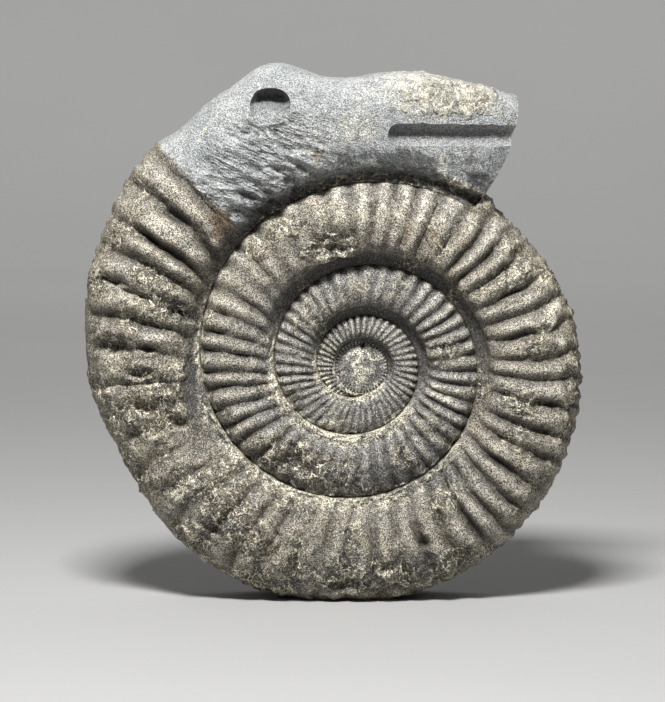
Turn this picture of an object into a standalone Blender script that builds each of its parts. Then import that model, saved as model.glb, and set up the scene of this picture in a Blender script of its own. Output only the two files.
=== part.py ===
"""A ribbed ammonite whose last coil ends in a carved snake's head, as one solid stone.

The coil lies in the XZ plane and stands on a small flat spot under its axis, with +Z up. Its
photographed face looks along -Y. A place on the coil is given by its growth angle in degrees, which
is 0 where the mouth end touches the coil again and falls towards the centre, and by its radius.
Lengths are in millimetres until a point is placed.
"""

import math

import bmesh
import bpy
from mathutils import Vector

MM = 0.001

# Driving dimensions of the coil
MOUTH_ANGLE = 55.0          # direction of growth angle 0, seen from the front, from +X towards +Z
AXIS_HEIGHT = 44.0          # of the coil's axis above the flat spot
OUTER_STEP = 45.0           # growth angle between the outer radii below
OUTER_START = -945.0
OUTER_RADII = (5.0, 6.55, 8.3, 9.4, 10.4, 11.1, 11.4, 11.8, 12.8, 14.5, 16.7, 18.55, 20.3, 21.8,
               22.9, 23.8, 25.2, 27.4, 30.8, 34.0, 36.5, 38.6, 41.0, 42.6, 44.4, 47.1, 50.8, 55.9)
CORE_RADIUS = 4.94          # worn disc in the middle of the coil
CORE_EDGE_DEPTH = 1.1
CORE_CROWN_DEPTH = 1.9

# Section of the coil, as a superellipse
SECTION_POWER = 2.4
THICKNESS_TO_HEIGHT = 0.93
CORE_THICKNESS = 1.5
DORSAL_REACH = 0.965        # share of the half height where the flank meets the coil inside it
SHOULDER_REACH = 0.81       # share of the half height where the next coil covers the flank

# Ribs
RIBS_PER_TURN = 46.5
ROWS_PER_RIB = 4
RIB_RELIEF = 0.026          # crest above groove, as a share of the radius
RIB_SHAPE = (-0.62, 0.12, 0.38, 0.12)
RIBLET_SHAPE = (-0.25, 0.15, -0.25, 0.15)   # each rib parts in two over the back of the coil
BACK_TURN = 45.0            # angle round the section, from the back's middle, where ribs part
RIB_STRENGTH = ((-945, 0.5), (-700, 0.9), (-340, 1.0), (-255, 0.75), (-200, 0.75), (-140, 1.0),
                (-60, 0.9), (-20, 0.8), (25, 1.0), (95, 1.0), (125, 0.7), (155, 0.5), (185, 0.7),
                (212, 0.45), (232, 0.8), (250, 1.1), (279, 1.25), (287, 0.0), (360, 0.0))

# Carved head: outer radius, half thickness and boxiness of the section against growth angle
HEAD_START = 270.0
HEAD_OUTLINE = ((270, 55.9), (283, 57.4), (288, 56.9), (295, 57.8), (301, 58.6), (306, 59.9),
                (310, 59.6), (314, 57.4), (318, 55.4), (323, 54.8), (330, 56.0), (337, 56.8),
                (348, 57.6), (355, 58.5), (360, 59.1))
HEAD_HALF_THICKNESS = ((270, 10.9), (284, 11.0), (290, 10.3), (305, 10.0), (318, 9.4), (335, 8.9),
                       (352, 8.0), (357, 7.6), (360, 6.6))
HEAD_SECTION_POWER = ((270, 2.4), (290, 3.0), (360, 3.2))
CHIN_RETREAT = 5.3          # degrees by which the forehead end of the snout stands back from the jaw
CHIN_FROM = 320.0
CHIN_POWER = 2.7
LEAN_FADE = 30.0            # growth angle over which the rows turn upright as the head starts

# Eye and mouth, placed from the coil's axis
EYE_CENTRE = (-17.0, 49.7)
EYE_RADIUS = 3.8
EYE_DEPTH = 3.2
EYE_TILT = 20.0
MOUTH_START = (7.0, 44.4)
MOUTH_END = (34.0, 44.0)
MOUTH_RADIUS = 1.75
MOUTH_DEPTH = 2.4

# Chips and hollows of the front: growth angle, radius, length along, width across, depth
FRONT_HOLLOWS = ((239, 46.5, 3.4, 2.4, 1.3), (207, 31.5, 5.5, 3.4, 0.9), (228, 41.0, 3.0, 4.0, 0.8),
                 (160, 42.0, 7.0, 3.0, 0.6), (-52, 26.5, 3.6, 2.6, 0.7))
BACK_HOLLOWS = ((60, 37.0, 5.0, 3.0, 0.8), (192, 43.0, 6.0, 3.0, 0.9), (-150, 24.0, 3.0, 2.4, 0.6))
WORN_RIM = (212.0, 9.0, 1.7)   # growth angle, spread in degrees, depth

FLANK_COLUMNS = 3
BACK_COLUMNS = 4
CAP_ROWS = 2
FINE_STEP = 360.0 / (RIBS_PER_TURN * ROWS_PER_RIB)
COARSE_STEP = 2.0 * FINE_STEP
FINE_TURN = round(360.0 / FINE_STEP)
COARSE_TURN = FINE_TURN // 2
RIB_LEAN = 2.0 * FINE_STEP  # ribs lean forward by this angle from the seam to the shoulder
BACK_LEAN = FINE_STEP
INNER_START = round(OUTER_START / COARSE_STEP)      # first coarse row of the inner coils
INNER_END = -COARSE_TURN
BACK_START = -round(RIB_LEAN / FINE_STEP)           # fine row where the back of the coil is first bare
COIL_START = (INNER_START + 0.1) * COARSE_STEP
WELD = 0.02 * MM

STONE_COLOUR = (0.27, 0.245, 0.205, 1.0)


def clear_scene():
    for obj in list(bpy.data.objects):
        bpy.data.objects.remove(obj)


def blend(low, high, share):
    return low + (high - low) * share


def ease(low, high, value):
    """0 below low, 1 above high and a smooth rise between them."""
    share = min(1.0, max(0.0, (value - low) / (high - low)))
    return share * share * (3.0 - 2.0 * share)


def fall(high, low, value):
    """0 above high, 1 below low and a smooth rise between them."""
    return 1.0 - ease(low, high, value)


def smooth_through(knots, at):
    """Value at a place on the smooth curve through (place, value) knots."""
    places = [knot[0] for knot in knots]
    values = [knot[1] for knot in knots]
    if at <= places[0]:
        return values[0]
    if at >= places[-1]:
        return values[-1]
    k = max(n for n in range(len(places) - 1) if places[n] <= at)

    def slope(n):
        before, after = max(n - 1, 0), min(n + 1, len(places) - 1)
        return (values[after] - values[before]) / (places[after] - places[before])

    span = places[k + 1] - places[k]
    s = (at - places[k]) / span
    rise = 3.0 * s * s - 2.0 * s ** 3
    return (blend(values[k], values[k + 1], rise)
            + span * (slope(k) * (s - 2.0 * s * s + s ** 3) + slope(k + 1) * (s ** 3 - s * s)))


OUTER_KNOTS = tuple((OUTER_START + OUTER_STEP * n, radius) for n, radius in enumerate(OUTER_RADII))


def outer_radius(growth):
    """Radius of the back of the coil."""
    if growth > HEAD_START:
        return smooth_through(HEAD_OUTLINE, growth)
    angle, spread, depth = WORN_RIM
    dent = depth * math.exp(-0.5 * ((growth - angle) / spread) ** 2)
    return smooth_through(OUTER_KNOTS, growth) - dent


def half_height(growth):
    """Half the height of the coil's section, from the coil inside it to its own back."""
    return (outer_radius(growth) - seam_radius(growth - 360.0)) / (1.0 + DORSAL_REACH)


def seam_radius(growth):
    """Radius of the line along which the next coil lies on this one."""
    if growth <= COIL_START:
        return CORE_RADIUS
    return outer_radius(growth) - (1.0 - SHOULDER_REACH) * half_height(growth)


def section_power(growth):
    return smooth_through(HEAD_SECTION_POWER, growth) if growth > HEAD_START else SECTION_POWER


def half_thickness(growth):
    if growth > HEAD_START:
        return smooth_through(HEAD_HALF_THICKNESS, growth)
    return math.hypot(THICKNESS_TO_HEIGHT * half_height(growth), CORE_THICKNESS)


def seam_depth(growth):
    """Distance of the seam from the coil's middle plane."""
    if growth <= COIL_START:
        return CORE_EDGE_DEPTH
    share = (1.0 - SHOULDER_REACH ** SECTION_POWER) ** (1.0 / SECTION_POWER)
    start = ease(COIL_START, COIL_START + 90.0, growth)
    return blend(CORE_EDGE_DEPTH, share * half_thickness(growth), start)


def rib_height(row, growth, radius, over_back):
    """Height of the ribs at a fine row; over_back is 0 on the flank and 1 on the back."""
    shape = blend(RIB_SHAPE[row % ROWS_PER_RIB], RIBLET_SHAPE[row % ROWS_PER_RIB], over_back)
    return shape * RIB_RELIEF * radius * smooth_through(RIB_STRENGTH, growth)


def hollow_depth(side, growth, radius):
    """Depth of the chips and hollows near a place on the face."""
    total = 0.0
    for angle, middle, length, width, depth in FRONT_HOLLOWS if side < 0 else BACK_HOLLOWS:
        along = math.radians(growth - angle) * radius / length
        across = (radius - middle) / width
        total += depth * math.exp(-(along * along + across * across))
    return total


def placed(growth, radius, depth):
    """A point of the part from its growth angle, its radius and its depth along +Y."""
    angle = math.radians(MOUTH_ANGLE - growth)
    return Vector((radius * math.cos(angle), depth, AXIS_HEIGHT + radius * math.sin(angle))) * MM


def seam_point(growth, side):
    """Corner shared by two coils at the growth angle of the inner one."""
    row = round((growth - RIB_LEAN) / FINE_STEP)
    rib = 0.5 * rib_height(row, growth, seam_radius(growth), 0.5)
    if growth <= COIL_START:
        rib = 0.0
    return placed(growth, seam_radius(growth) + 0.5 * rib, side * (seam_depth(growth) + rib))


def chin_retreat(growth, radius):
    """Growth angle by which the carved snout's end stands back from a radial cut."""
    start = seam_radius(0.0)
    reach = max(0.0, (radius - start) / (outer_radius(360.0) - start))
    share = max(0.0, (growth - CHIN_FROM) / (360.0 - CHIN_FROM))
    return CHIN_RETREAT * reach ** CHIN_POWER * share ** 2


def section_point(row, turn, side):
    """A point on the coil's section at a fine row. turn is the angle round the section in degrees."""
    over_back = fall(BACK_TURN, BACK_TURN / 3.0, turn)
    lean = RIB_LEAN * fall(DORSAL_TURN, SHOULDER_TURN, turn) + BACK_LEAN * over_back
    growth = row * FINE_STEP
    growth += lean * fall(HEAD_START + LEAN_FADE, HEAD_START, growth)
    half, thick, power = half_height(growth), half_thickness(growth), section_power(growth)
    cosine, sine = math.cos(math.radians(turn)), math.sin(math.radians(turn))
    out = math.copysign(abs(cosine) ** (2.0 / power), cosine)
    up = abs(sine) ** (2.0 / power)
    radius = outer_radius(growth) - half + half * out
    rib = rib_height(row, growth, radius, over_back) - hollow_depth(side, growth, radius)
    radius += rib * max(out, 0.0)
    return placed(growth - chin_retreat(growth, radius), radius, side * (thick + rib) * up)


def turn_at(reach):
    """Angle round the section at which the superellipse reaches a share of the half height."""
    cosine = math.copysign(abs(reach) ** (SECTION_POWER / 2.0), reach)
    return math.degrees(math.acos(cosine))


DORSAL_TURN = turn_at(-DORSAL_REACH)
SHOULDER_TURN = turn_at(SHOULDER_REACH)


def flank_point(row, column, side):
    """Corner of the flank, from column 0 at the inner seam to the last at the shoulder."""
    growth = row * FINE_STEP
    if column == 0 or (row == 2 * INNER_START and column < FLANK_COLUMNS):
        return seam_point(growth - 360.0, side)
    if column == FLANK_COLUMNS and growth + RIB_LEAN <= 1e-6:
        return seam_point(growth + RIB_LEAN, side)
    turn = blend(DORSAL_TURN, SHOULDER_TURN, column / FLANK_COLUMNS)
    return section_point(row, turn, side)


def ring_point(row, column):
    """Corner of the last coil's whole section, from the front seam over the back to the rear seam."""
    last = 2 * FLANK_COLUMNS + BACK_COLUMNS
    if column <= FLANK_COLUMNS:
        return flank_point(row, column, -1)
    if column >= last - FLANK_COLUMNS:
        return flank_point(row, last - column, 1)
    turn = blend(SHOULDER_TURN, -SHOULDER_TURN, (column - FLANK_COLUMNS) / BACK_COLUMNS)
    return section_point(row, abs(turn), -1 if turn > 0.0 else 1)


def cap_point(row, column):
    """Corner of the snout's end, which closes from the last section onto the coil below it."""
    last = 2 * FLANK_COLUMNS + BACK_COLUMNS
    below = min(max(column, FLANK_COLUMNS), last - FLANK_COLUMNS)
    return ring_point(FINE_TURN, column).lerp(ring_point(BACK_START, below), row / CAP_ROWS)


def add_sheet(mesh, rows, columns, place):
    """Adds a grid whose corner (row, column) lies where place says."""
    made = bmesh.ops.create_grid(mesh, x_segments=rows, y_segments=columns, size=1.0)
    corners = {}
    for vert in made["verts"]:
        row = round((vert.co.x + 1.0) / 2.0 * rows)
        column = round((vert.co.y + 1.0) / 2.0 * columns)
        corners[row, column] = vert
    for (row, column), vert in corners.items():
        vert.co = place(row, column)
    return corners


def add_inner_coils(mesh, side):
    """The flanks of the inner coils, with half as many rows as the outer ones."""
    rows = INNER_END - INNER_START
    corners = add_sheet(mesh, rows, FLANK_COLUMNS,
                        lambda row, column: flank_point(2 * (INNER_START + row), column, side))
    first = INNER_END - COARSE_TURN - 1 - INNER_START
    for row in range(first, rows):
        ends = corners[row, FLANK_COLUMNS], corners[row + 1, FLANK_COLUMNS]
        edge = next(e for e in ends[0].link_edges if e.other_vert(ends[0]) is ends[1])
        middle = bmesh.utils.edge_split(edge, ends[0], 0.5)[1]
        middle.co = seam_point((INNER_START + row + 0.5) * COARSE_STEP + RIB_LEAN, side)


def add_core(mesh, side):
    """The low crown in the middle of the coil."""
    crown = placed(0.0, 0.0, side * CORE_CROWN_DEPTH)
    add_sheet(mesh, COARSE_TURN, 1, lambda row, column: crown if column else
              seam_point((INNER_START + row) * COARSE_STEP - 360.0, side))


def add_outer_coils(mesh):
    """The second coil's flanks, the whole last coil with its carved head, and the snout's end."""
    for side in (-1, 1):
        add_sheet(mesh, FINE_TURN + BACK_START, FLANK_COLUMNS,
                  lambda row, column: flank_point(row - FINE_TURN, column, side))
    last = 2 * FLANK_COLUMNS + BACK_COLUMNS
    add_sheet(mesh, FINE_TURN - BACK_START, last,
              lambda row, column: ring_point(BACK_START + row, column))
    add_sheet(mesh, CAP_ROWS, last, cap_point)


def cut_flat_spot(mesh):
    """Levels the ribs under the coil, so that the stone stands."""
    geometry = mesh.verts[:] + mesh.edges[:] + mesh.faces[:]
    cut = bmesh.ops.bisect_plane(mesh, geom=geometry, dist=1e-7, plane_co=(0.0, 0.0, 0.0),
                                 plane_no=(0.0, 0.0, -1.0), clear_outer=True)
    rim = [g for g in cut["geom_cut"] if isinstance(g, bmesh.types.BMEdge)]
    bmesh.ops.holes_fill(mesh, edges=rim, sides=0)


def stone_material():
    material = bpy.data.materials.new("fossil_stone")
    material.use_nodes = True
    shader = material.node_tree.nodes["Principled BSDF"]
    shader.inputs["Base Color"].default_value = STONE_COLOUR
    shader.inputs["Roughness"].default_value = 0.7
    shader.inputs["Metallic"].default_value = 0.0
    return material


def build_stone():
    mesh = bmesh.new()
    for side in (-1, 1):
        add_core(mesh, side)
        add_inner_coils(mesh, side)
    add_outer_coils(mesh)
    bmesh.ops.remove_doubles(mesh, verts=mesh.verts[:], dist=WELD)
    bmesh.ops.dissolve_degenerate(mesh, edges=mesh.edges[:], dist=WELD)
    bmesh.ops.triangulate(mesh, faces=mesh.faces[:])
    bmesh.ops.recalc_face_normals(mesh, faces=mesh.faces[:])
    cut_flat_spot(mesh)
    bmesh.ops.recalc_face_normals(mesh, faces=mesh.faces[:])
    data = bpy.data.meshes.new("ammonite")
    mesh.to_mesh(data)
    mesh.free()
    data.materials.append(stone_material())
    data.shade_smooth()
    data.set_sharp_from_angle(angle=math.radians(50.0))
    stone = bpy.data.objects.new("ammonite", data)
    bpy.context.scene.collection.objects.link(stone)
    return stone


def add_cutter(stone, name, mesh):
    """Cuts the shape in mesh out of the stone."""
    data = bpy.data.meshes.new(name)
    mesh.to_mesh(data)
    mesh.free()
    cutter = bpy.data.objects.new(name, data)
    bpy.context.scene.collection.objects.link(cutter)
    cutter.hide_render = True
    cutter.display_type = "WIRE"
    cut = stone.modifiers.new(name, "BOOLEAN")
    cut.operation = "DIFFERENCE"
    cut.solver = "EXACT"
    cut.object = cutter
    return cutter


def face_depth(growth, radius):
    """Depth of the carved head's flat side at a place."""
    half = half_height(growth)
    out = min(1.0, abs(radius - outer_radius(growth) + half) / half)
    power = section_power(growth)
    return half_thickness(growth) * (1.0 - out ** power) ** (1.0 / power)


def place_of(x, z):
    """Growth angle in the last turn, and radius, of a point seen from the front."""
    growth = (MOUTH_ANGLE - math.degrees(math.atan2(z, x))) % 360.0
    return growth, math.hypot(x, z)


def cut_eye(stone, side):
    """A blind drilled hole, drilled a little upwards."""
    surface = face_depth(*place_of(*EYE_CENTRE))
    long = 4.0 * EYE_DEPTH
    mesh = bmesh.new()
    bmesh.ops.create_cone(mesh, cap_ends=True, segments=24, radius1=EYE_RADIUS * MM,
                          radius2=EYE_RADIUS * MM, depth=long * MM)
    x, z = EYE_CENTRE
    cutter = add_cutter(stone, f"eye_{'front' if side < 0 else 'rear'}", mesh)
    cutter.rotation_euler = (math.radians(90.0 - side * EYE_TILT), 0.0, 0.0)
    out = surface - EYE_DEPTH + 0.5 * long
    drop = (0.5 * long - EYE_DEPTH) * math.sin(math.radians(EYE_TILT))
    cutter.location = Vector((x, side * out, AXIS_HEIGHT + z - drop)) * MM


def cut_mouth(stone, side):
    """A round-bottomed groove that runs out at the end of the snout."""
    start, end = Vector(MOUTH_START), Vector(MOUTH_END)
    surface = face_depth(*place_of(*(start.lerp(end, 0.4))))
    mesh = bmesh.new()
    ball = bmesh.ops.create_uvsphere(mesh, u_segments=16, v_segments=9, radius=MOUTH_RADIUS * MM)
    run = (end - start).length * MM
    for vert in ball["verts"]:
        if vert.co.z > 1e-6:
            vert.co.z += run
    cutter = add_cutter(stone, f"mouth_{'front' if side < 0 else 'rear'}", mesh)
    slope = math.atan2(end.y - start.y, end.x - start.x)
    cutter.rotation_euler = (0.0, math.radians(90.0) - slope, 0.0)
    depth = surface - MOUTH_DEPTH + MOUTH_RADIUS
    cutter.location = Vector((start.x, side * depth, AXIS_HEIGHT + start.y)) * MM


def main():
    clear_scene()
    stone = build_stone()
    for side in (-1, 1):
        cut_eye(stone, side)
        cut_mouth(stone, side)


main()
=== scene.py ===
import bisect
import math

import bmesh
import bpy
from bpy.props import FloatProperty, FloatVectorProperty, PointerProperty
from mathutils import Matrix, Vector, noise
from mathutils.kdtree import KDTree


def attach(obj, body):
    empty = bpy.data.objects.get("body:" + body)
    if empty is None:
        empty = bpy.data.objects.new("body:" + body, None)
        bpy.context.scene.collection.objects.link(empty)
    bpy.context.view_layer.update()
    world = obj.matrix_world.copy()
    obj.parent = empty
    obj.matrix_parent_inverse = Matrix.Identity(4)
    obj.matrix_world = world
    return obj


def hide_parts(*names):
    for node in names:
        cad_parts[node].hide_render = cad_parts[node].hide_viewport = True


bl_info = {
    "name": "Carved ammonite",
    "version": (1, 0, 0),
    "blender": (4, 5, 0),
    "location": "View3D > Sidebar > Ammonite",
    "description": "A ribbed fossil ammonite whose mouth end is carved as a snake's head",
    "category": "Add Mesh",
}

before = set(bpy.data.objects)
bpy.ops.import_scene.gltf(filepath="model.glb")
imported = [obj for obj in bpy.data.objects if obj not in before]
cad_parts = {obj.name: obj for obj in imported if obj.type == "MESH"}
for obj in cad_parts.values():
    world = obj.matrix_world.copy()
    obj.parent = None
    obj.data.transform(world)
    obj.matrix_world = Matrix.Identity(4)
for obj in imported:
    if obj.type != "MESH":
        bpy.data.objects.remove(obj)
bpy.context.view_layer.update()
MM = 0.001

# Driving dimensions of the coil, in millimetres and degrees. The outline is the solid's, and the
# section is a little thinner, which leaves room for the finer relief on it
MOUTH_ANGLE = 55.0
OUTER_STEP = 45.0
OUTER_START = -945.0
OUTER_RADII = (5.0, 6.55, 8.3, 9.4, 10.4, 11.1, 11.4, 11.8, 12.8, 14.5, 16.7, 18.55, 20.3, 21.8,
               22.9, 23.8, 25.2, 27.4, 30.8, 34.0, 36.5, 38.6, 41.0, 42.6, 44.4, 47.1, 50.8, 55.9)
CORE_RADIUS = 4.94
CORE_EDGE_DEPTH = 1.1
CORE_CROWN_DEPTH = 1.9
SECTION_POWER = 2.4
THICKNESS_TO_HEIGHT = 0.905
CORE_THICKNESS = 1.5
DORSAL_REACH = 0.965
SHOULDER_REACH = 0.81
WORN_RIM = (212.0, 9.0, 1.7)

# Carved head: its outline is the solid's, and its recesses are cut a little differently
HEAD_START = 270.0
HEAD_EDGE = 283.5
HEAD_OUTLINE = ((270, 55.9), (283, 57.4), (288, 56.9), (295, 57.8), (301, 58.6), (306, 59.9),
                (310, 59.6), (314, 57.4), (318, 55.4), (323, 54.8), (330, 56.0), (337, 56.8),
                (348, 57.6), (355, 58.5), (360, 59.1))
HEAD_HALF_THICKNESS = ((270, 10.6), (284, 10.7), (290, 10.2), (305, 10.0), (318, 9.4), (335, 8.9),
                       (352, 8.0), (357, 7.6), (360, 6.6))
HEAD_SECTION_POWER = ((270, 2.4), (290, 3.0), (360, 3.2))
CHIN_RETREAT = 5.3
CHIN_FROM = 320.0
CHIN_POWER = 2.7
EYE_CENTRE = (-17.0, 49.7)
EYE_RADIUS = 3.8
EYE_DEPTH = 5.2
EYE_WALL = 0.42
EYE_SQUARE = 2.5
EYE_STEEP = 1.3
MOUTH_START = (7.0, 44.4)
MOUTH_END = (34.0, 44.0)
MOUTH_HALF_HEIGHT = 2.1
MOUTH_DEPTH = 1.9
MOUTH_CUTS = 52

# Ribs: the grooves between them lie at growth angles in degrees. The inner ones come in even runs of
# (step, number) after the first, and the others lie as they are seen
FIRST_GROOVE = -951.0
EVEN_GROOVES = ((8.0, 6), (7.5, 8), (8.0, 17), (7.5, 2), (8.0, 6), (7.5, 2), (8.0, 6), (7.5, 7),
                (8.0, 3), (7.5, 10), (8.0, 2))
SEEN_GROOVES = (
    -405.8, -395.8, -387.0, -378.0, -369.2, -360.4, -352.0, -343.1, -335.4, -328.1, -320.8, -312.3,
    -304.2, -296.5, -288.5, -281.2, -273.8, -265.8, -257.0, -248.5, -240.8, -231.5, -222.3, -213.0,
    -205.4, -197.7, -190.0, -182.0, -174.2, -164.6, -155.0, -147.7, -140.4, -132.0, -125.4, -117.3,
    -110.0, -102.3, -94.2, -85.8, -79.2, -71.2, -62.5, -54.5, -46.0, -38.0, -30.5, -24.0, -17.3,
    -10.0, -1.7, 6.0, 12.7, 19.4, 27.6, 35.3, 42.5, 50.7, 57.4, 65.1, 73.7, 80.5, 88.6, 95.9, 102.6,
    109.3, 117.5, 125.8, 132.5, 141.0, 149.6, 156.7, 163.9, 172.5, 179.6, 188.0, 196.2, 204.0, 212.0,
    219.5, 226.0, 232.2, 240.5, 248.2, 254.1, 261.8, 267.5, 275.6, 282.4, 290.0, 298.0)

# How strong the ribs are, and how they lean and bend
RIB_STRENGTH = ((-945, 0.7), (-860, 0.95), (-800, 1.0), (-740, 0.85), (-640, 1.0), (-600, 0.6),
                (-560, 0.5), (-520, 0.8), (-470, 1.0), (-425, 0.8), (-405, 0.45), (-375, 0.55),
                (-355, 1.0), (-290, 1.15), (-250, 0.95), (-215, 0.65), (-185, 0.45), (-165, 0.9),
                (-135, 1.15), (-95, 0.85), (-60, 0.6), (-40, 0.65), (-15, 0.85), (25, 1.0), (95, 1.05),
                (125, 0.75), (150, 0.65), (185, 0.7), (212, 0.5), (228, 0.55), (243, 0.9), (256, 1.15),
                (276, 1.35), (282, 1.0), (284, 0.0))
BACK_STRENGTH = ((-20, 0.8), (20, 0.6), (60, 0.5), (130, 0.5), (180, 0.35), (205, 0.12), (255, 0.15),
                 (275, 0.5), (284, 0.6))
RIB_LEAN = ((-945, 1.0), (-790, 2.0), (-735, 7.0), (-700, 9.0), (-650, 9.0), (-600, 5.0), (-500, 2.0),
            (-360, 1.5), (284, 1.0))
RIB_RELIEF = 0.042
RIB_FADE = (0.35, 0.7)
RIB_BEND = 8.0
BEND_MIDDLE = 0.6
BACK_TURN = (15.0, 45.0)
RIB_SWAY = ((0.10, 0.2), (0.05, 0.7))
GROOVE_WIDTH = 0.13
GROOVE_DEPTH = (0.25, 0.75)
RIBLET_HEIGHT = 0.42
RIBLET_DEPTH = 0.6
RIBLET_LIFT = 0.05
WORN_BY_CRUST = 0.35

# Depth beyond which the relief is flattened to this share, which keeps it near the solid's box
DEPTH_LIMIT = 11.6
DEPTH_SHARE = 0.45

# Seams between the coils: directions from the axis in degrees, each with the cosines of the angle to
# it between which the crust or the valley and its painted shade set in. The flank's length is in
# half heights of the coil
FLANK_LENGTH = 2.4
FULL_SEAM_HALF = 7.0
SEAM_UPRIGHT = 0.14
SEAM_FILLET = 2.4
SEAM_CRUST_MIDDLE = -122.0
SEAM_CRUST_REACH = (-0.1, 0.35)
SEAM_THICK_MIDDLE = -95.0
SEAM_THICK_REACH = (-0.3, 0.5)
VALLEY_MIDDLE = 65.0
VALLEY_REACH = (-0.3, 0.6)
# Direction in degrees and width in radians of the painted shade by the seam on the left
LEFT_SEAM_SHADE = (-175.0, 0.55)

# The flaky outer rim: angles round the section, and growth angles where it is strong, in degrees
RIM_TURN = (48.0, 78.0)
RIM_LEFT = ((140.0, 165.0), (258.0, 274.0))
RIM_RIGHT = (55.0, 40.0)
RIM_RIGHT_TURN = ((8.0, 25.0), (52.0, 88.0))

# Chisel marks on the carved head: the direction and sizes of the strokes, and where the marks, the
# cream ridge over the snout and the broken ledge under the jaw begin and end
STROKE_DIRECTION = (0.92, 0.39)
STROKE_SIZE = (0.2, 0.25, 0.5)
NICK_SIZE = (0.42, 0.4, 0.95)
CHEEK_SHARE = (0.55, 0.82)
CHEEK_END = (-14.0, -2.0)
JAW_START = (-20.0, -8.0)
JAW_BAND = 3.0
RIDGE_TURN = (55.0, 30.0)
RIDGE_ENDS = ((2.0, 8.0), (30.0, 24.0))
LEDGE_WIDTH = (2.3, 1.5)
LEDGE_START = (-30.0, -22.0)
LEDGE_FADE = (14.0, 20.0)
CHIN_BRIDGE = (1.9, 4.5)

# Unevenness of the stone: heights and scales per millimetre. The broken layers have a scale, a number
# of steps and a place in the pattern, and their heights stand apart
UNEVEN = ((0.08, 0.9), (0.05, 1.9))
RAGGED = ((0.28, 0.75), (0.16, 1.9))
LARGE_LAYERS = (0.33, 2.2, (31.0, 5.0, 9.0))
SMALL_LAYERS = (0.8, 1.6, (3.0, 51.0, 9.0))
LAYER_HEIGHTS = (0.38, 0.24)
LAYER_NOISE = (0.9, 2.1, 4)
CRUST_EVERYWHERE = 0.3
OVAL_EDGE = (0.55, 1.25)
OVAL_REACH = 2.2
EDGE_TURN = 8.0

# The worn disc in the middle: where its ribs begin, its spiral and its cream
CORE_RIBS = (0.86, 0.94)
CORE_SWIRL = (1.5, 0.16)
CORE_CREAM = 0.32

# Mesh: rows to a turn of the last coil, and columns on the front, over the back and on the rear
ROWS = 540
FRONT_COLUMNS = 48
BACK_COLUMNS = 24
REAR_COLUMNS = 20
RING_COLUMNS = FRONT_COLUMNS + BACK_COLUMNS + REAR_COLUMNS
CORE_RINGS = 6
CAP_ROWS = 14
CAP_BOW = 0.3
CAP_BOW_LENGTH = 12.0
CAP_ROUGH = ((0.25, 0.5), (0.12, 1.3))
ROW_SWING = 0.15
DENSE_TURN = 0.38
WELD = 0.004 * MM

# Where the picture was taken from: the point looked at, the distance and the angle downwards. The
# rear has the same places as the front, a little shifted
LOOK_AT = (-5.4, 3.0)
LOOK_DISTANCE = 620.0
LOOK_DOWN = 6.0
REAR_SHIFT = (3.1, -2.3)

# Places on the front as seen from there: x and z from the axis, half length, half width, slope in
# degrees and strength, which is the depth in millimetres for hollows
HOLLOWS = (
    (-47.3, 4.2, 2.9, 2.4, 10.0, 1.1),
    (-40.7, 3.7, 2.4, 0.8, -5.0, 0.9),
    (-42.0, -1.3, 2.6, 1.0, 5.0, 1.0),
    (-38.1, -3.7, 2.4, 1.2, 0.0, 0.6),
    (-41.2, -7.9, 3.0, 1.4, -15.0, 0.7),
    (-35.6, -10.0, 3.2, 1.3, -20.0, 0.8),
    (-43.5, -12.5, 2.0, 1.2, 30.0, 0.5),
    (-37.6, 13.2, 4.2, 0.8, -20.0, 0.5),
    (-47.4, 16.5, 3.2, 0.8, -14.0, 0.9),
    (-34.5, 10.0, 2.6, 1.6, -10.0, 0.5),
    (-5.3, 23.6, 4.8, 2.6, 12.0, 0.9),
    (-12.6, 27.0, 2.4, 1.4, -20.0, 0.5),
    (-27.5, 21.0, 1.8, 1.0, -30.0, 0.5),
    (36.0, -6.8, 2.7, 0.7, -8.0, 0.5),
    (30.0, -8.6, 2.6, 0.7, -20.0, 0.5),
    (29.0, 14.2, 2.6, 0.6, 22.0, 0.5),
    (4.4, -38.2, 2.6, 0.9, 5.0, 0.8),
    (12.0, -33.4, 1.3, 1.1, 0.0, 0.6),
    (-3.0, -41.4, 3.4, 1.0, 8.0, 0.9),
    (6.5, -41.6, 2.6, 0.8, -5.0, 0.7),
    (-28.2, -31.0, 2.4, 0.9, -35.0, 0.6),
    (-19.0, -33.5, 3.0, 0.8, -65.0, 0.6),
    (-12.0, -19.0, 3.6, 1.6, -25.0, 0.5),
    (-18.2, 45.0, 0.9, 0.5, 5.0, 0.7),
    (-21.5, 46.2, 1.5, 0.5, -12.0, 0.4),
    (-8.4, 40.0, 0.5, 1.6, 0.0, 0.4),
    (22.4, 35.2, 1.7, 1.9, 0.0, 0.5),
    (0.4, 3.9, 0.36, 0.36, 0.0, 0.9),
)
SMOOTH_PLACES = (
    (-30.7, -14.8, 5.4, 3.4, -20.0, 1.0),
    (-32.3, -4.2, 1.9, 5.4, 0.0, 0.9),
    (-24.0, 7.0, 1.6, 4.0, 0.0, 0.3),
)
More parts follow.
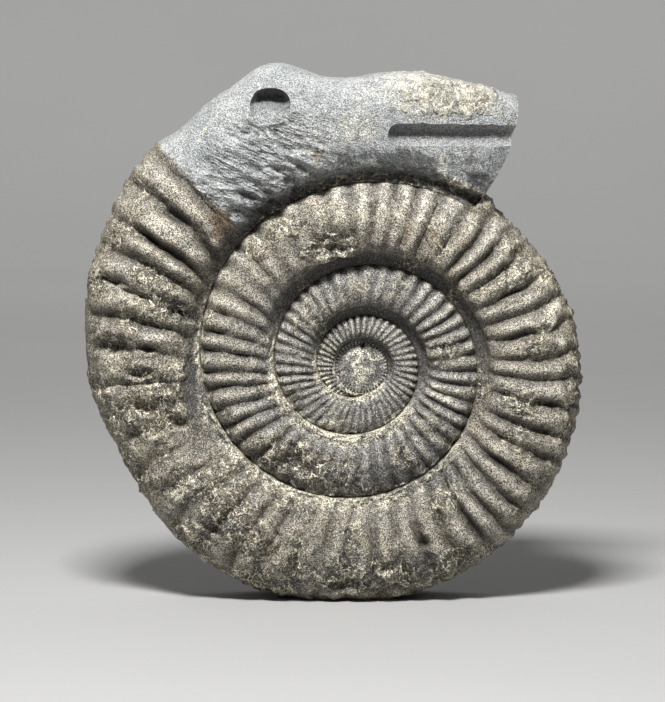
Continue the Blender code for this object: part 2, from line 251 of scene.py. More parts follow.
CREAM_STAINS_AND_HIGHLIGHT = (
    (15.6, 51.2, 14.8, 4.3, -4.0, 1.35),
    # Partly painted highlight: this broad patch lightens the second coil's upper side
    (2.0, 29.0, 17.0, 4.4, -3.0, 0.45),
    (-0.6, 45.2, 4.3, 3.7, 0.0, 1.1),
    (-8.2, 40.9, 2.7, 3.9, 0.0, 0.6),
    (15.4, 38.8, 1.2, 2.6, 0.0, 1.6),
    (21.2, 40.0, 4.4, 1.7, -6.0, 0.5),
    (-30.0, 44.6, 2.1, 0.35, 60.0, 1.3),
    (15.0, -5.2, 3.8, 1.4, -32.0, 0.9),
    (13.0, 2.4, 2.3, 0.8, -5.0, 0.5),
    (-5.7, 20.7, 3.4, 0.9, 10.0, 1.1),
    (-20.5, 23.4, 2.4, 0.9, -20.0, 0.6),
    (-6.6, -10.8, 3.0, 0.9, -5.0, 0.9),
    (-6.7, -3.0, 1.5, 1.1, 0.0, 0.6),
    (-44.7, 13.7, 1.6, 1.0, 0.0, 1.0),
    (-32.5, -22.6, 5.6, 1.5, 30.0, 0.75),
    (-27.9, 23.6, 1.3, 0.6, -20.0, 1.0),
    (17.5, -24.5, 1.3, 2.2, 20.0, 0.6),
    (34.8, 7.3, 3.2, 1.2, 22.0, 0.5),
    (28.3, 17.5, 5.0, 1.6, 32.0, 0.45),
    (-15.0, -19.5, 9.0, 1.2, -22.0, 0.3),
)
# Dark places: mostly stains, but the broad ones low on the last and the second coil, the ones over the
# chips and the band under the cheek are painted shade
DARK_STAINS_AND_SHADE = (
    (0.0, -39.0, 24.0, 4.6, 3.0, 0.55),
    (-30.0, -27.0, 12.0, 5.0, -45.0, 0.4),
    (-2.5, 40.1, 4.6, 1.9, 0.0, 1.3),
    (8.4, 39.2, 6.4, 2.2, -3.0, 1.9),
    (20.7, 39.2, 4.6, 2.0, -4.0, 1.0),
    (21.4, 34.4, 2.4, 2.4, 0.0, 2.4),
    (6.0, 37.0, 15.0, 1.2, -4.0, 0.6),
    (-14.5, 46.0, 1.6, 4.2, 12.0, 0.5),
    (-20.5, 44.4, 3.0, 0.8, -8.0, 0.9),
    (7.6, 49.6, 1.1, 3.6, 8.0, 0.4),
    (-21.0, 31.5, 6.0, 2.2, 35.0, 0.7),
    (-10.0, 35.6, 6.0, 1.2, 20.0, 0.6),
    (-32.3, -4.2, 1.7, 5.4, 0.0, 0.7),
    (-34.2, 10.2, 3.4, 2.3, -10.0, 0.7),
    (-42.0, -1.3, 2.2, 0.9, 5.0, 0.8),
    (-47.3, 4.2, 2.3, 1.8, 10.0, 0.5),
    (6.5, -21.0, 12.5, 3.4, 8.0, 0.8),
    (-12.0, -18.5, 8.0, 3.0, -25.0, 0.4),
    (16.0, -19.0, 4.0, 3.0, 40.0, 0.6),
    (9.0, 16.0, 4.0, 2.0, -30.0, 0.3),
    (-3.0, -41.4, 7.5, 2.2, 3.0, 0.5),
    (12.0, -33.4, 1.6, 1.5, 0.0, 0.7),
    (4.4, -38.0, 2.8, 0.9, 5.0, 0.7),
    (30.0, -10.5, 5.0, 3.0, -30.0, 0.3),
)
RUST_STAINS = (
    (-26.6, 27.4, 2.4, 3.6, 20.0, 1.0),
    (-8.4, 40.1, 0.7, 1.7, 0.0, 1.1),
    (8.9, 25.8, 0.9, 3.2, 0.0, 0.6),
    (14.2, 24.7, 0.9, 2.2, -20.0, 0.5),
    (-12.0, -17.9, 8.0, 3.6, -25.0, 0.55),
    (-41.2, -7.9, 3.0, 1.6, -15.0, 0.7),
    (-35.6, -10.0, 3.2, 1.5, -20.0, 0.7),
    (-38.1, -3.7, 2.2, 1.1, 0.0, 0.7),
    (19.0, 23.5, 1.6, 3.0, -20.0, 0.35),
    (-22.0, -30.0, 12.0, 5.0, -40.0, 0.4),
)
CRUST_PLACES = (
    (-40.2, 17.4, 4.4, 2.2, -15.0, 1.0),
    (-38.0, 11.0, 5.5, 4.0, -15.0, 0.8),
    (-38.5, -6.5, 7.0, 7.5, 0.0, 0.8),
    (-5.3, 23.0, 5.8, 3.4, 10.0, 1.0),
    (-12.9, 26.4, 3.0, 1.9, -20.0, 0.9),
    (-20.5, 23.0, 4.0, 3.0, -35.0, 0.7),
    (-12.0, -17.9, 8.5, 4.0, -25.0, 0.9),
    (28.3, 17.0, 5.4, 2.4, 33.0, 0.8),
    (34.8, 7.3, 3.4, 1.5, 22.0, 0.9),
    (30.4, -7.0, 4.4, 3.0, -10.0, 0.9),
    (-32.5, -22.6, 6.2, 2.2, 30.0, 1.0),
    (-24.0, -29.0, 12.0, 5.5, -42.0, 0.8),
    (2.0, -40.0, 12.0, 3.4, 3.0, 0.9),
    (17.9, -36.5, 6.0, 2.2, 25.0, 0.9),
    (17.5, -24.5, 1.8, 2.8, 20.0, 0.8),
    (19.0, 51.0, 12.0, 4.4, -4.0, 0.7),
    (19.5, 34.0, 6.0, 1.6, -25.0, 0.8),
)
BUMPS = (
    (-0.8, 0.5, 0.8, 0.7, 0.0, 0.25),
    (-6.6, -10.9, 2.8, 0.8, -5.0, 0.35),
    (-5.7, 20.5, 3.2, 0.8, 10.0, 0.45),
    (-28.1, 23.5, 1.3, 0.7, -20.0, 0.4),
)

# Patterns of the stone's material: scales to a metre, and slope in degrees of the chisel strokes
GRAIN_SCALE = 4600.0
BROAD_STAIN, SMALL_STAIN, BLOT = 110.0, 520.0, 900.0
LARGE_FLAKES, FINE_FLAKES = 420.0, 1150.0
STROKE_CELLS = (330.0, 300.0, 900.0)
NICK_CELLS = (900.0, 800.0, 2100.0)
STROKE_SLOPE = 22.0

# Finish of the stone. Pairs are a value on the coil and on the carved head
CRUST_RANGE = (0.32, 0.8)
CREAM_STRENGTH = (0.95, 0.38)
GRAIN_STRENGTH = (2.5, 1.4)
FLECK_STRENGTH = (1.0, 0.25)
GRAIN_CURVE = 1.4
GRAIN_MIDDLE = 0.42
GRAIN_LIMITS = (0.15, 1.9)
ROUGHNESS = (0.42, 0.66)
BUMP_STRENGTH = 0.9
BUMP_DISTANCE = 0.0003
SHARP_ANGLE = 62.0
MOST_FACES = 200000

# Stage, in metres: lights as (place, point aimed at, size), the floor and the picture
KEY_LIGHT = ((-0.05, -0.21, 0.40), (0.0, 0.0, 0.055), (0.12, 0.07))
FILL_LIGHT = ((-0.45, -0.75, 0.28), (0.0, 0.0, 0.05), (0.5, 0.5))
BACK_LIGHT = ((0.0, 0.75, 1.0), (0.0, 1.5, 0.0), (2.0, 0.6))
SKY_COLOUR = (0.9, 0.93, 1.0, 1.0)
SKY_STRENGTH = 0.045
FLOOR_HALF = 1.5
BACKDROP_HEIGHT = 1.5
BACKDROP_BEND = 0.6
SENSOR_HEIGHT = 24.0
PICTURE_PIXELS = 702
PIXEL = 0.19 * MM


def blend(low, high, share):
    return low + (high - low) * share


def clamp(value):
    return min(1.0, max(0.0, value))


def ease(low, high, value):
    """0 below low, 1 above high and a smooth rise between them."""
    share = clamp((value - low) / (high - low))
    return share * share * (3.0 - 2.0 * share)


def bell(value, width):
    return math.exp(-(value / width) ** 2)


def uneven(spot, scale):
    """Soft noise between about -1 and 1 at a place, at a scale per millimetre."""
    return noise.noise(spot * scale)


def uneven_sum(spot, parts):
    """Sum of soft noises, each a (height, scale)."""
    return sum(height * uneven(spot, scale) for height, scale in parts)


def smooth_through(knots, at):
    """Value at a place on the smooth curve through (place, value) knots."""
    if at <= knots[0][0]:
        return knots[0][1]
    if at >= knots[-1][0]:
        return knots[-1][1]
    k = max(n for n in range(len(knots) - 1) if knots[n][0] <= at)

    def slope(n):
        before, after = max(n - 1, 0), min(n + 1, len(knots) - 1)
        return (knots[after][1] - knots[before][1]) / (knots[after][0] - knots[before][0])

    span = knots[k + 1][0] - knots[k][0]
    s = (at - knots[k][0]) / span
    rise = 3.0 * s * s - 2.0 * s ** 3
    return (blend(knots[k][1], knots[k + 1][1], rise)
            + span * (slope(k) * (s - 2.0 * s * s + s ** 3) + slope(k + 1) * (s ** 3 - s * s)))


OUTER_KNOTS = tuple((OUTER_START + OUTER_STEP * n, radius) for n, radius in enumerate(OUTER_RADII))


def outer_radius(growth):
    if growth > HEAD_START:
        return smooth_through(HEAD_OUTLINE, growth)
    angle, spread, depth = WORN_RIM
    dent = depth * math.exp(-0.5 * ((growth - angle) / spread) ** 2)
    return smooth_through(OUTER_KNOTS, growth) - dent


def half_height(growth):
    return (outer_radius(growth) - seam_radius(growth - 360.0)) / (1.0 + DORSAL_REACH)


def seam_radius(growth):
    if growth <= COIL_START:
        return CORE_RADIUS
    return outer_radius(growth) - (1.0 - SHOULDER_REACH) * half_height(growth)


def half_thickness(growth):
    if growth > HEAD_START:
        return smooth_through(HEAD_HALF_THICKNESS, growth)
    thick = math.hypot(THICKNESS_TO_HEIGHT * half_height(growth), CORE_THICKNESS)
    start = ease(COIL_START, COIL_START + 90.0, growth)
    edge = CORE_EDGE_DEPTH / (1.0 - SHOULDER_REACH ** SECTION_POWER) ** (1.0 / SECTION_POWER)
    return blend(edge, thick, start)


def seam_depth(growth):
    """Depth at which the next coil lies on this one."""
    if growth <= COIL_START:
        return CORE_EDGE_DEPTH
    return half_thickness(growth) * (1.0 - SHOULDER_REACH ** SECTION_POWER) ** (1.0 / SECTION_POWER)


def turn_at(reach):
    """Angle round the section at which the superellipse reaches a share of the half height."""
    cosine = math.copysign(abs(reach) ** (SECTION_POWER / 2.0), reach)
    return math.degrees(math.acos(cosine))


DORSAL_TURN = turn_at(-DORSAL_REACH)
SHOULDER_TURN = turn_at(SHOULDER_REACH)


def growth_at(row):
    """Growth angle of a row, with the rows closer together on the carved head."""
    turns = row / ROWS
    swing = math.sin(math.tau * (turns - DENSE_TURN)) + math.sin(math.tau * DENSE_TURN)
    return 360.0 * (turns - ROW_SWING / math.tau * swing)


def row_before(growth):
    """The even row next below a growth angle."""
    row = 2 * math.floor(growth / 720.0 * ROWS)
    while growth_at(row + 2) <= growth:
        row += 2
    while growth_at(row) > growth:
        row -= 2
    return row


COIL_START_ROW = row_before(OUTER_START) + 2
COIL_START = growth_at(COIL_START_ROW) + 0.01
MIDDLE_ROW = -ROWS


class Section:
    """The coil's cross section at one row."""

    def __init__(self, row):
        self.growth = growth_at(row)
        self.outer = outer_radius(self.growth)
        self.half = half_height(self.growth)
        self.inner = self.outer - self.half * (1.0 + DORSAL_REACH)
        self.thick = half_thickness(self.growth)
        self.power = SECTION_POWER
        if self.growth > HEAD_START:
            self.power = smooth_through(HEAD_SECTION_POWER, self.growth)
        self.step = 0.0
        if row > COIL_START_ROW:
            self.step = seam_depth(self.growth - 360.0) - self.point(DORSAL_TURN)[1]
        self.lean = smooth_through(RIB_LEAN, self.growth)
        self.strength = smooth_through(RIB_STRENGTH, self.growth)

    def point(self, turn):
        """Radius, depth and outward direction at an angle round the section."""
        c, s = math.cos(math.radians(turn)), abs(math.sin(math.radians(turn)))
        out = math.copysign(abs(c) ** (2.0 / self.power), c)
        up = s ** (2.0 / self.power)
        radius = self.outer - self.half + self.half * out
        across = self.thick * math.copysign(abs(c) ** (2.0 - 2.0 / self.power), c)
        rise = self.half * s ** (2.0 - 2.0 / self.power)
        length = math.hypot(across, rise)
        return radius, self.thick * up, across / length, rise / length


SECTIONS = {}


def section(row):
    if row not in SECTIONS:
        SECTIONS[row] = Section(row)
    return SECTIONS[row]


def chin_retreat(growth, radius):
    """Growth angle by which the carved snout's end stands back from a radial cut."""
    start = seam_radius(0.0)
    reach = max(0.0, (radius - start) / (outer_radius(360.0) - start))
    share = max(0.0, (growth - CHIN_FROM) / (360.0 - CHIN_FROM))
    return CHIN_RETREAT * reach ** CHIN_POWER * share ** 2


def oval(x, z, oval_at, roughness):
    """1 at the middle of an oval place and 0 outside it, with a ragged edge."""
    cx, cz, length, width, slope, strength = oval_at
    dx, dz = x - cx, z - cz
    if abs(dx) > OVAL_REACH * length + width or abs(dz) > OVAL_REACH * (length + width):
        return 0.0
    c, s = math.cos(math.radians(slope)), math.sin(math.radians(slope))
    along, across = (dx * c + dz * s) / length, (dz * c - dx * s) / width
    distance = math.hypot(along, across) + roughness
    return strength * (1.0 - ease(*OVAL_EDGE, distance))


def ovals(x, z, places, roughness):
    return max(oval(x, z, place, roughness) for place in places)


def groove_angles():
    """Growth angles of the grooves between the ribs."""
    angles = [FIRST_GROOVE]
    for step, number in EVEN_GROOVES:
        angles += [angles[-1] + step * (n + 1) for n in range(number)]
    return (*angles, *SEEN_GROOVES)


GROOVE_ANGLES = groove_angles()


def crest_of(phase):
    """0 in the grooves, at whole phases, and 1 on the ribs' backs between them."""
    return 0.5 - 0.5 * math.cos(math.tau * phase)


def rib_profile(phase, depth):
    """A rib across its width: a round back between narrow grooves of some depth."""
    return 0.6 * crest_of(phase) - depth * bell(abs(phase - round(phase)), GROOVE_WIDTH)


def rib_phase(growth):
    """How many grooves lie below a growth angle."""
    n = min(max(bisect.bisect(GROOVE_ANGLES, growth) - 1, 0), len(GROOVE_ANGLES) - 2)
    low, high = GROOVE_ANGLES[n], GROOVE_ANGLES[n + 1]
    return n + (growth - low) / (high - low)


def terrace(place, scale, steps, shift=(0.0, 0.0, 0.0)):
    """Height of flaky layers at a place, in whole steps with short slopes between them."""
    value = steps * noise.fractal((place + Vector(shift)) * scale, *LAYER_NOISE)
    part = value - math.floor(value)
    return math.floor(value) + ease(0.0, 0.3, part)


def as_seen(x, depth, z):
    """Where a point of the front appears from the picture's viewpoint, from the coil's axis."""
    down = math.radians(LOOK_DOWN)
    up = (z - LOOK_AT[1]) * math.cos(down) + depth * math.sin(down)
    away = LOOK_DISTANCE + depth * math.cos(down) - (z - LOOK_AT[1]) * math.sin(down)
    scale = LOOK_DISTANCE / away
    return LOOK_AT[0] + (x - LOOK_AT[0]) * scale, LOOK_AT[1] + up * scale


class Relief:
    """Height above the smooth coil in millimetres, and the masks that the stone's colours use."""

    MASKS = ("groove", "crest", "cream", "dark", "rust", "head", "core", "crust", "chisel")

    def __init__(self, part, turn, side, radius, depth, share):
        self.part, self.turn, self.side = part, turn, side
        self.radius, self.share = radius, share
        self.angle = math.radians(MOUTH_ANGLE - part.growth)
        x, z = radius * math.cos(self.angle), radius * math.sin(self.angle)
        self.spot = Vector((x, side * depth, z))
        if side < 0:
            self.x, self.z = as_seen(x, -depth, z)
        else:
            self.x, self.z = x + REAR_SHIFT[0], z + REAR_SHIFT[1]
        self.over_back = 1.0 - ease(*BACK_TURN, turn)
        self.covered = part.growth < 0.0 and share > 0.5
        self.gap = (1.0 - share if self.covered else share) * FLANK_LENGTH * part.half
        self.away = max(0.0, radius - part.inner)
        self.above = self.towards(VALLEY_MIDDLE, VALLEY_REACH)
        self.ragged = uneven_sum(self.spot, RAGGED)
        self.height = self.lift = self.low = 0.0
        for mask in self.MASKS:
            setattr(self, mask, 0.0)
        cloud = noise.noise(self.spot * 0.16 + Vector((7.0, 3.0, 1.0)))
        self.crust = CRUST_EVERYWHERE + max(0.0, 0.8 * cloud)
        self.smooth = self.at(SMOOTH_PLACES, 1.0)
        self.crust = max(self.crust, self.at(CRUST_PLACES, 1.5))
        self.add_rim()
        self.add_ribs()
        self.add_seams()
        if part.growth > HEAD_EDGE - 6.0:
            self.add_carving()
        self.add_chin_bridge()
        self.add_wear()
        self.add_hollows()
        for mask in self.MASKS:
            setattr(self, mask, clamp(getattr(self, mask)))

    def towards(self, middle, reach):
        """1 where the place lies in a direction from the axis, in degrees, and 0 away from it."""
        return ease(*reach, math.cos(self.angle - math.radians(middle)))

    def at(self, places, roughness):
        """Strength of the strongest of some places here."""
        if self.turn < EDGE_TURN:
            return 0.0
        return ovals(self.x, self.z, places, roughness * self.ragged)

    def add_rim(self):
        """The coil's outer edge is flaky, most of all at the left and below."""
        growth, turn = self.part.growth, self.turn
        if growth < 0.0 or growth > HEAD_EDGE:
            return
        rim = 1.0 - ease(*RIM_TURN, turn)
        left = ease(*RIM_LEFT[0], growth) * (1.0 - ease(*RIM_LEFT[1], growth))
        patch = clamp(0.65 + 0.8 * uneven(self.spot, 0.14))
        self.crust = max(self.crust, rim * patch * blend(0.8, 1.0, left), 0.75 * left * patch)
        middle, width = RIM_RIGHT
        right = bell(growth - middle, width) * ease(*RIM_RIGHT_TURN[0], turn)
        right *= 1.0 - ease(*RIM_RIGHT_TURN[1], turn)
        self.cream += right * clamp(0.35 + 1.2 * uneven(self.spot, 0.35))

    def add_ribs(self):
        """Ribs over the coil, each split in two over its back, and the near-black of their grooves,
        partly dirt and partly painted shade.
        """
        part, spot = self.part, self.spot
        lean = part.lean * (self.share - BEND_MIDDLE) - RIB_BEND * (self.share - BEND_MIDDLE) ** 2
        phase = rib_phase(part.growth - lean) + uneven_sum(spot, RIB_SWAY)
        groove = Vector((round(phase) * 3.7, self.share * 2.2, self.side * 5.0))
        depth = clamp(0.8 + 0.9 * noise.noise(groove))
        crest = crest_of(phase)
        rib = rib_profile(phase, blend(*GROOVE_DEPTH, depth))
        riblet = RIBLET_HEIGHT * (rib_profile(2.0 * phase, RIBLET_DEPTH) + RIBLET_LIFT)
        shape = blend(rib, riblet, self.over_back)
        fade = ease(-0.05 * part.half, blend(*RIB_FADE, self.above) * part.half, self.away)
        if self.covered:
            fade *= blend(0.55, 1.0, ease(0.0, 1.2, self.gap))
        patchy = 0.85 + 0.5 * uneven(spot, 0.21)
        strength = part.strength * fade * patchy * (1.0 - 0.9 * self.smooth)
        strength *= 1.0 - WORN_BY_CRUST * self.crust * (1.0 - self.over_back)
        if part.growth > 0.0:
            strength *= 1.0 - 0.4 * ease(0.72, 1.0, self.share) * (1.0 - self.over_back)
            strength *= blend(1.0, smooth_through(BACK_STRENGTH, part.growth), self.over_back)
        self.height += RIB_RELIEF * self.radius * strength * shape
        flank = 1.0 - 0.55 * self.over_back
        low = self.low = max(0.0, 1.0 - crest / 0.62)
        # Near-black in the ribs' low parts: partly dirt, partly painted shade.
        self.groove += clamp(1.15 * strength * blend(0.45, 1.0, depth) * low) * flank
        # The ribs' backs painted paler: partly pale stone, partly painted highlight.
        self.crest += clamp(1.6 * strength * (crest - 0.4)) * flank
        if self.covered:
            bead = bell(self.gap - 0.7, 0.6) * ease(0.3, 0.8, crest)
            self.height += 0.25 * bead * clamp(part.half / FULL_SEAM_HALF)
            self.cream += 0.45 * bead

    def add_seams(self):
        """The line where coils meet: a crumbly crust below and on the left, a lowered valley above,
        and painted shade in that valley, along the seam, low on the coils and by the seam on the left.
        """
        part, spot, gap = self.part, self.spot, self.gap
        size = clamp(part.half / FULL_SEAM_HALF)
        below = self.towards(SEAM_CRUST_MIDDLE, SEAM_CRUST_REACH)
        thick = self.towards(SEAM_THICK_MIDDLE, SEAM_THICK_REACH)
        above = self.above
        crumb = clamp(0.5 + 0.8 * uneven(spot, 0.8) + 0.4 * uneven(spot, 2.1))
        line = bell(gap, blend(0.8, 1.5, thick) * blend(0.5, 1.0, size))
        band = below * clamp(line * (1.2 + 0.7 * uneven(spot, 0.5)))
        self.lift += band * blend(0.2, 0.55, thick) * (0.4 + crumb) * size
        self.crust = max(self.crust, 0.9 * band)
        self.dark += 0.5 * band * ease(0.45, 0.1, crumb)
        if self.covered:
            edge = bell(gap, blend(0.4, 0.7, thick))
            self.cream += below * edge * (0.45 + 0.6 * crumb)
            self.lift -= 0.7 * below * bell(gap, 1.2) * size
            self.groove *= 1.0 - 0.9 * below * edge
            # Painted shade: the inner coil is darkened near the seam at the bottom, where it faces
            # down, and blackened along the seam on the other sides.
            self.dark += 0.7 * thick * bell(gap - 1.8, 2.2) * size
            self.groove += (1.0 - below) * (0.3 * bell(gap, 0.35) + 0.9 * self.low * bell(gap, 1.2))
            return
        away = self.away / size
        foot = below * bell(away, blend(0.5, 1.6, thick) * (0.7 + 0.9 * crumb))
        self.cream += 1.6 * foot * (0.5 + 0.6 * crumb)
        self.dark *= 1.0 - foot
        bank = below * ease(0.0, 0.3, away) * bell(away - 0.6, blend(0.5, 1.0, thick))
        self.lift += blend(0.4, 0.9, thick) * bank * (0.6 + 0.6 * crumb) * size
        self.crust = max(self.crust, 0.9 * foot)
        self.groove *= 1.0 - 0.95 * foot
        # Painted shade at the bottom: crests dimmed and the flank darkened a few millimetres out from
        # the seam.
        self.crest *= 1.0 - 0.6 * thick * bell(away - 3.5, 3.5)
        self.dark += 0.22 * thick * bell(away - 4.0, 3.0)
        # Painted shade in the valley above the seam: the flank is darkened, blackened nearest the seam,
        # and its crests are dimmed.
        valley = above * math.exp(-away / 2.2)
        self.dark += 0.9 * valley
        self.groove += 0.95 * above * math.exp(-away / 1.3)
        self.crest *= 1.0 - 0.85 * valley
        self.height -= 1.5 * above * bell(away - 0.8, 1.6) * ease(0.0, 0.5, away) * size
        if part.growth > 0.0:
            # Painted shade by the seam on the left: darker, with dimmed crests.
            direction, width = LEFT_SEAM_SHADE
            left = bell(math.remainder(self.angle - math.radians(direction), math.tau), width)
            left *= bell(away, 4.0)
            self.dark += 0.45 * left
            self.crest *= 1.0 - 0.7 * left

    def add_carving(self):
        """Chisel marks, ledges and colours of the carved head, with painted shade in the chisel scoops.
        """
        part, spot, x, z = self.part, self.spot, self.x, self.z
        wander = 1.3 * uneven(spot, 0.35) + 0.5 * uneven(spot, 1.1)
        self.head = ease(HEAD_EDGE - 0.6, HEAD_EDGE + 0.6, part.growth + wander)
        cut = self.head
        self.height -= 0.35 * cut * (1.0 - ease(HEAD_EDGE + 3.0, HEAD_EDGE + 12.0, part.growth))
        cheek = (1.0 - ease(*CHEEK_SHARE, self.share)) * (1.0 - ease(*CHEEK_END, x))
        cosine, sine = STROKE_DIRECTION
        along, across = cosine * x - sine * z, sine * x + cosine * z
        across += 0.9 * uneven(spot, 0.3)
        along += 0.9 * noise.noise(spot * 0.3 + Vector((8.0, 8.0, 8.0)))
        place = Vector((along, spot.y, across))
        strokes = noise.voronoi(place * Vector(STROKE_SIZE))[0]
        nicks = noise.voronoi(place * Vector(NICK_SIZE) + Vector((0.0, 5.0, 0.0)))[0]
        broad = uneven(spot, 0.22)
        jaw = cut * bell(self.gap - JAW_BAND, JAW_BAND) * ease(*JAW_START, x)
        self.chisel = clamp(cut * (cheek + 0.15) + 0.7 * jaw)
        self.height += cut * cheek * (1.7 * (strokes[0] - 0.4) + 0.7 * (nicks[0] - 0.4) + 0.5 * broad)
        self.height += jaw * (0.7 * (strokes[0] - 0.4) + 0.6 * (nicks[0] - 0.4))
        # Painted shade in the low middles of the chisel scoops on the cheek.
        self.dark += cut * cheek * 0.75 * ease(0.42, 0.15, strokes[0] + 0.25 * broad)
        scratch = noise.fractal(Vector((0.22 * x, 0.3 * spot.y, 2.4 * z)), 0.9, 2.0, 3)
        self.height += 0.08 * cut * (1.0 - cheek) * scratch + 0.12 * cut * uneven(spot, 0.45)
        ridge = cut * ease(*RIDGE_TURN, self.turn) * ease(*RIDGE_ENDS[0], spot.x)
        ridge *= ease(*RIDGE_ENDS[1], spot.x)
        self.cream += 0.8 * ridge * clamp(0.75 + 0.9 * uneven(spot, 0.3))
        ledge = cut * ease(*LEDGE_WIDTH, self.gap + 0.7 * uneven(spot, 0.4))
        ledge *= ease(*LEDGE_START, x) * (1.0 - 0.7 * ease(*LEDGE_FADE, x))
        layer = Vector((0.25 * x, 0.2 * spot.y, 1.3 * self.gap))
        self.height -= ledge * (0.9 - 0.2 * terrace(layer, 1.0, 2.2))
        self.dark += ledge * (0.9 + 0.5 * uneven(spot, 0.9))
        self.rust += 0.7 * ledge
        self.dark += 0.36 * jaw * (0.9 + 0.8 * uneven(spot, 0.5) + 0.5 * uneven(spot, 1.3))
        self.crust = max(0.3 * self.crust, 0.65 * ledge, 0.5 * jaw, self.at(CRUST_PLACES[-2:], 1.5))

    def add_chin_bridge(self):
        """Stone left between the chin and the back of the coil below it."""
        growth = self.part.growth
        if abs(growth) < 15.0 and self.share > 0.8:
            height, width = CHIN_BRIDGE
            self.height += height * bell(growth, width) * ease(0.88, 1.0, self.share)
            self.cream += 0.5 * bell(growth, 5.0) * ease(0.88, 1.0, self.share)
        if growth > 345.0:
            near = bell(growth - 360.0, 6.0) * bell(self.gap, 1.6)
            self.height += 0.9 * near
            self.cream += 0.6 * near

    def add_wear(self):
        """Flaking layers where the stone is crusty, and a fine unevenness everywhere."""
        spot, amount = self.spot, clamp(self.crust - 0.1) * (1.0 - self.smooth)
        level, small = terrace(spot, *LARGE_LAYERS), terrace(spot, *SMALL_LAYERS)
        self.height += amount * (LAYER_HEIGHTS[0] * level + LAYER_HEIGHTS[1] * small)
        brown = (1.0 - self.head) * amount * clamp(-level)
        self.dark += 0.35 * brown
        self.rust += 0.6 * brown
        self.height += 0.22 * amount * uneven(spot, 1.3)
        self.dark += 0.75 * amount * ease(0.05, 0.5, noise.noise(spot * 0.5 + Vector((9.0, 0.0, 4.0))))
        self.height += uneven_sum(spot, UNEVEN)

    def add_hollows(self):
        """Chips, raised spots and stains at their own places. The chips and some dark places get
        painted shade, and the cream lip below each chip is partly painted highlight.
        """
        spot = self.spot
        deep = self.at(HOLLOWS, 1.0)
        self.height += self.at(BUMPS, 1.0) - deep * (1.0 + 0.4 * uneven(spot, 1.4))
        # Painted shade in the chips.
        self.groove += 0.55 * deep
        if self.turn >= EDGE_TURN:
            # A raised lip below each chip, painted cream: partly flaky crust, partly painted highlight.
            lip = clamp(ovals(self.x, self.z + 0.9, HOLLOWS[:-1], self.ragged) - deep)
            self.height += 0.35 * lip
            self.cream += 0.7 * lip
        # Cream stains, and a painted highlight on the second coil's top.
        self.cream += self.at(CREAM_STAINS_AND_HIGHLIGHT, 1.6) * blend(0.85, 0.65, self.head)
        # Dark stains, and painted shade low on the coils, over the chips and under the cheek.
        dark = self.at(DARK_STAINS_AND_SHADE, blend(2.0, 3.0, self.head))
        self.dark += blend(dark, 0.6 * dark * ease(0.25, 0.8, dark), self.head)
        self.rust += self.at(RUST_STAINS, 2.0)
        if self.part.growth <= 0.0:
            self.core = 1.0 - ease(20.0, 25.0, self.radius)
        self.crust *= 1.0 - self.smooth


def placed(growth, radius, depth):
    """Where a place on the coil, in degrees and millimetres, lies in the scene."""
    angle = math.radians(MOUTH_ANGLE - growth)
    height = stone_settings().axis_height / MM
    return Vector((radius * math.cos(angle), depth, height + radius * math.sin(angle))) * MM


def stone_settings():
    return bpy.context.scene.ammonite_stone


def coil_corner(row, turn, side, share):
    """Place and relief of a point on the coil."""
    part = section(row)
    radius, depth, across, rise = part.point(turn)
    relief = Relief(part, turn, side, radius, depth, share)
    high = relief.height
    growth = part.growth - chin_retreat(part.growth, radius)
    depth += rise * high + relief.lift
    if not relief.covered:
        depth += part.step * bell(relief.gap, SEAM_FILLET)
    if depth > DEPTH_LIMIT:
        depth = blend(DEPTH_LIMIT, depth, DEPTH_SHARE)
    sideways = ease(0.0, SEAM_UPRIGHT, 1.0 - share if relief.covered else share)
    return placed(growth, radius + across * sideways * high, side * depth), relief


def core_corner(row, share, side):
    """Place and relief of a point on the worn disc in the middle."""
    part = section(row)
    growth = growth_at(row)
    radius = CORE_RADIUS * share
    crown = blend(CORE_EDGE_DEPTH, CORE_CROWN_DEPTH, 1.0 - share ** 2)
    relief = Relief(part, 90.0, side, radius, crown, 0.5)
    ribs = ease(*CORE_RIBS, share)
    crest = crest_of(rib_phase(growth + 360.0))
    groove, crest = ribs * clamp(1.0 - 2.0 * crest), ribs * clamp(2.0 * crest - 1.0)
    relief.dark = relief.rust = 0.0
    step, width = CORE_SWIRL
    twist = radius / step - growth / 360.0
    swirl = bell(twist - round(twist), width) * ease(0.12, 0.4, share) * ease(1.0, 0.8, share)
    relief.height = 0.12 * uneven(relief.spot, 1.5) - 0.3 * swirl - 0.3 * groove
    relief.height += relief.at(BUMPS, 1.0)
    relief.crest = crest
    # Painted shade: the disc is blackened at its rim on the upper side, next to the first coil.
    upper = ease(-0.4, 0.7, math.sin(relief.angle))
    relief.groove = 0.45 * swirl + groove + 0.5 * upper * bell(share - CORE_RIBS[0], 0.07)
    deep = relief.at(HOLLOWS[-1:], 1.0) if side < 0 else 0.0
    relief.height -= deep
    # Painted shade in the pit on the disc.
    relief.groove = clamp(relief.groove + 1.5 * deep)
    relief.cream = clamp(CORE_CREAM + 0.5 * uneven(relief.spot, 0.8) + 0.4 * bell(share, 0.4))
    relief.cream *= (1.0 - ribs) * (1.0 - 0.7 * swirl)
    relief.crust = 0.25
    return placed(growth, radius, side * (crown + relief.height)), relief


def seam_corner(row, side):
    """Point shared by two coils, on the shoulder of the inner one."""
    if row <= COIL_START_ROW:
        return core_corner(row, 1.0, side)
    return coil_corner(row, SHOULDER_TURN, side, 1.0)


def flank_corner(row, column, columns, side):
    """Point on the flank, from the inner seam at column 0 to the shoulder at the last."""
    if column == 0 or (row == COIL_START_ROW and column < columns):
        return seam_corner(row - ROWS, side)
    if column == columns and row <= 0:
        return seam_corner(row, side)
    share = column / columns
    return coil_corner(row, blend(DORSAL_TURN, SHOULDER_TURN, share), side, share)


